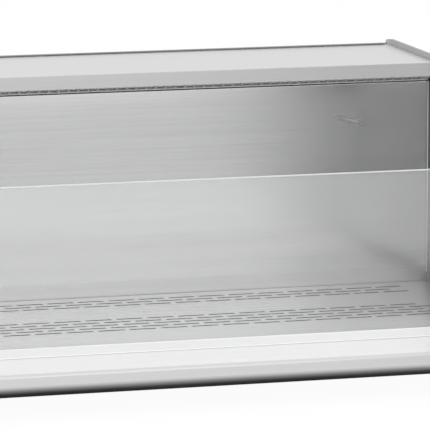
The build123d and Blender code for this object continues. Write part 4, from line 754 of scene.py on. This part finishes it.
# Raised marks on the buttons: a ring, an up and a down arrow head, a frost star
def buttonFace(name, lift):
    low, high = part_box("button_" + name)
    return (low.x + high.x) / 2, high.y + lift, (low.z + high.z) / 2


markLook = dict(size=0.0026, tall=0.00022, ring=0.0019, thick=0.00028, clear=0.00002, color=(0.8, 0.8, 0.79))
turn = np.linspace(0, 2 * np.pi, 60, endpoint=False)
sector = np.mod(turn - np.pi / 2 + np.pi / 3, 2 * np.pi / 3) - np.pi / 3
arrow = markLook["size"] * (0.5 / np.cos(sector)) ** 0.9
star = markLook["size"] * (0.66 + 0.34 * np.cos(6 * turn))
steps = [(0.0, 1.0), (markLook["tall"] * 0.6, 1.0), (markLook["tall"], 0.9)]
markWhite = mouldedFinish("markWhite", dict(trimLook, color=markLook["color"], fade=1.05, rough=0.45))
for name, radius, sign in (("up", arrow, 1), ("down", arrow, -1), ("defrost", star, 1)):
    outline = np.stack([radius * np.cos(turn), sign * radius * np.sin(turn)], -1)
    mesh = ringsMesh(name + "Mark", stackRings(outline, steps, 1), [buttonFace(name, markLook["clear"])])
    addPiece(mesh, markWhite, name + "_button")
mesh = ringMesh("setMark", markLook["ring"], markLook["thick"], buttonFace("set", markLook["thick"]), axis=1)
addPiece(mesh, markWhite, "set_button")

# Display: two digits of seven slim bars each, the lit ones red. Each bar: sideways, level, upright or not
digitLook = dict(high=0.0085, wide=0.0078, bar=0.0008, gap=0.0006, tall=0.00012, pitch=0.0175, lean=0.1,
                 clear=0.00002, number="abcdef bcfg", lit=(0.35, 0.01, 0.008), dim=(0.05, 0.012, 0.012),
                 glow=((1.0, 0.06, 0.03), (1.0, 0.12, 0.06)), power=1.6)
low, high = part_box("display_window")
centre, face = (low + high) / 2, high.y + digitLook["clear"]
bars = dict(a=(0, 1, 0), b=(1, 0.5, 1), c=(1, -0.5, 1), d=(0, -1, 0), e=(-1, -0.5, 1), f=(-1, 0.5, 1),
            g=(0, 0, 0))
steps = [(face, 1.0), (face + digitLook["tall"] * 0.7, 1.0), (face + digitLook["tall"], 0.9)]
made, shades = newMaterial("segmentLit")
flicker = shades.noise(shades.spot(), (900.0,) * 3)
shades.close(shades.surface(Base_Color=shadeOf(digitLook["lit"]), Roughness=0.4 + flicker * 0.1,
                            Emission_Color=shades.blend(flicker, *map(shadeOf, digitLook["glow"])),
                            Emission_Strength=digitLook["power"]))
segmentDim = mouldedFinish("segmentDim", dict(trimLook, color=digitLook["dim"], rough=0.3))
for name, finish, lit in (("segmentsLit", made, True), ("segmentsDim", segmentDim, False)):
    for upright in (0, 1):
        half = (digitLook["high"] if upright else digitLook["wide"]) / 2 - digitLook["gap"]
        flat, bar = half - digitLook["bar"], digitLook["bar"]
        outline = np.array([(-half, 0), (-flat, bar), (flat, bar), (half, 0), (flat, -bar), (-flat, -bar)])
        if upright:
            outline = outline[:, ::-1] + outline[:, :1] * [digitLook["lean"], 0]
        spots = []
        for place, on in zip((-0.5, 0.5), digitLook["number"].split()):
            for key, (side, level, kind) in bars.items():
                if (key in on) == lit and kind == upright:
                    x = (place * digitLook["pitch"] + side * digitLook["wide"] / 2
                         + level * digitLook["lean"] * digitLook["high"])
                    spots.append((centre.x - x, 0, centre.z + level * digitLook["high"]))
        if spots:
            mesh = ringsMesh(name + str(upright), stackRings(outline, steps, 1), spots)
            addPiece(mesh, finish)
print("controls marked")


# Compressor: seam of the two halves of its shell, washers and hexagon bolts of its plate, brazed collars
shellLook = dict(centre=(-0.09, 0.2944), radius=0.046, seam=0.118, bead=0.0021, ripple=0.14, ripples=84,
                 bolt=(0.056, 0.038), plate=0.0452, stub=0.02)
collarLook = dict(radius=0.0052, bead=0.0009, height=0.2076, ripple=0.08, ripples=9)
washerLook = dict(radius=0.0078, steps=((0.00003, 0.96), (0.0003, 1), (0.0013, 1), (0.0015, 0.97)))
boltLook = dict(radius=0.006, steps=((0.0016, 0.97), (0.0018, 1), (0.0052, 1), (0.0056, 0.93),
                                     (0.0057, 0.85)))
x, y = shellLook["centre"]
mesh = ringMesh("shellSeam", shellLook["radius"], shellLook["bead"], (x, y, shellLook["seam"]),
                shellLook["ripple"], shellLook["ripples"], around=336)
addPiece(mesh, blackPaint)
dx, dy = shellLook["bolt"]
spots = [(x + sx * dx, y + sy * dy, shellLook["plate"]) for sx in (-1, 1) for sy in (-1, 1)]
for name, look, sides in (("plateWashers", washerLook, 40), ("plateBolts", boltLook, 6)):
    rings = stackRings(roundedOutline(look["radius"], look["radius"], 2.0, sides), look["steps"], 2)
    addPiece(ringsMesh(name, rings, spots, smooth=sides > 6), plainSteel)
for side, name in ((-1, "suctionCollar"), (1, "dischargeCollar")):
    spot = (x + side * shellLook["stub"], y, collarLook["height"])
    mesh = ringMesh(name, collarLook["radius"], collarLook["bead"], spot, collarLook["ripple"],
                    collarLook["ripples"])
    addPiece(mesh, copper)

# Feet: the ribbed ring that turns each foot to level the case
gripLook = dict(radius=0.0116, ribs=26, depth=0.0005, low=0.0246, high=0.0294, soft=0.0004, tip=0.94)
turn = np.linspace(0, 2 * np.pi, 208, endpoint=False)
radius = gripLook["radius"] + gripLook["depth"] * np.cos(gripLook["ribs"] * turn)
outline = np.stack([radius * np.cos(turn), radius * np.sin(turn)], -1)
steps = beadEnds(*(gripLook[key] for key in ("low", "high", "soft", "tip")))
spots = [((low.x + high.x) / 2, (low.y + high.y) / 2, 0.0) for low, high in map(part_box, feet)]
addPiece(ringsMesh("footGrips", stackRings(outline, steps, 2), spots), blackPlastic)
print("machinery details done")

bare = [name for name, thing in nodes.items()
        if not any(slot.material and slot.material.node_tree for slot in thing.material_slots)]
print("nodes without a finish:", bare)
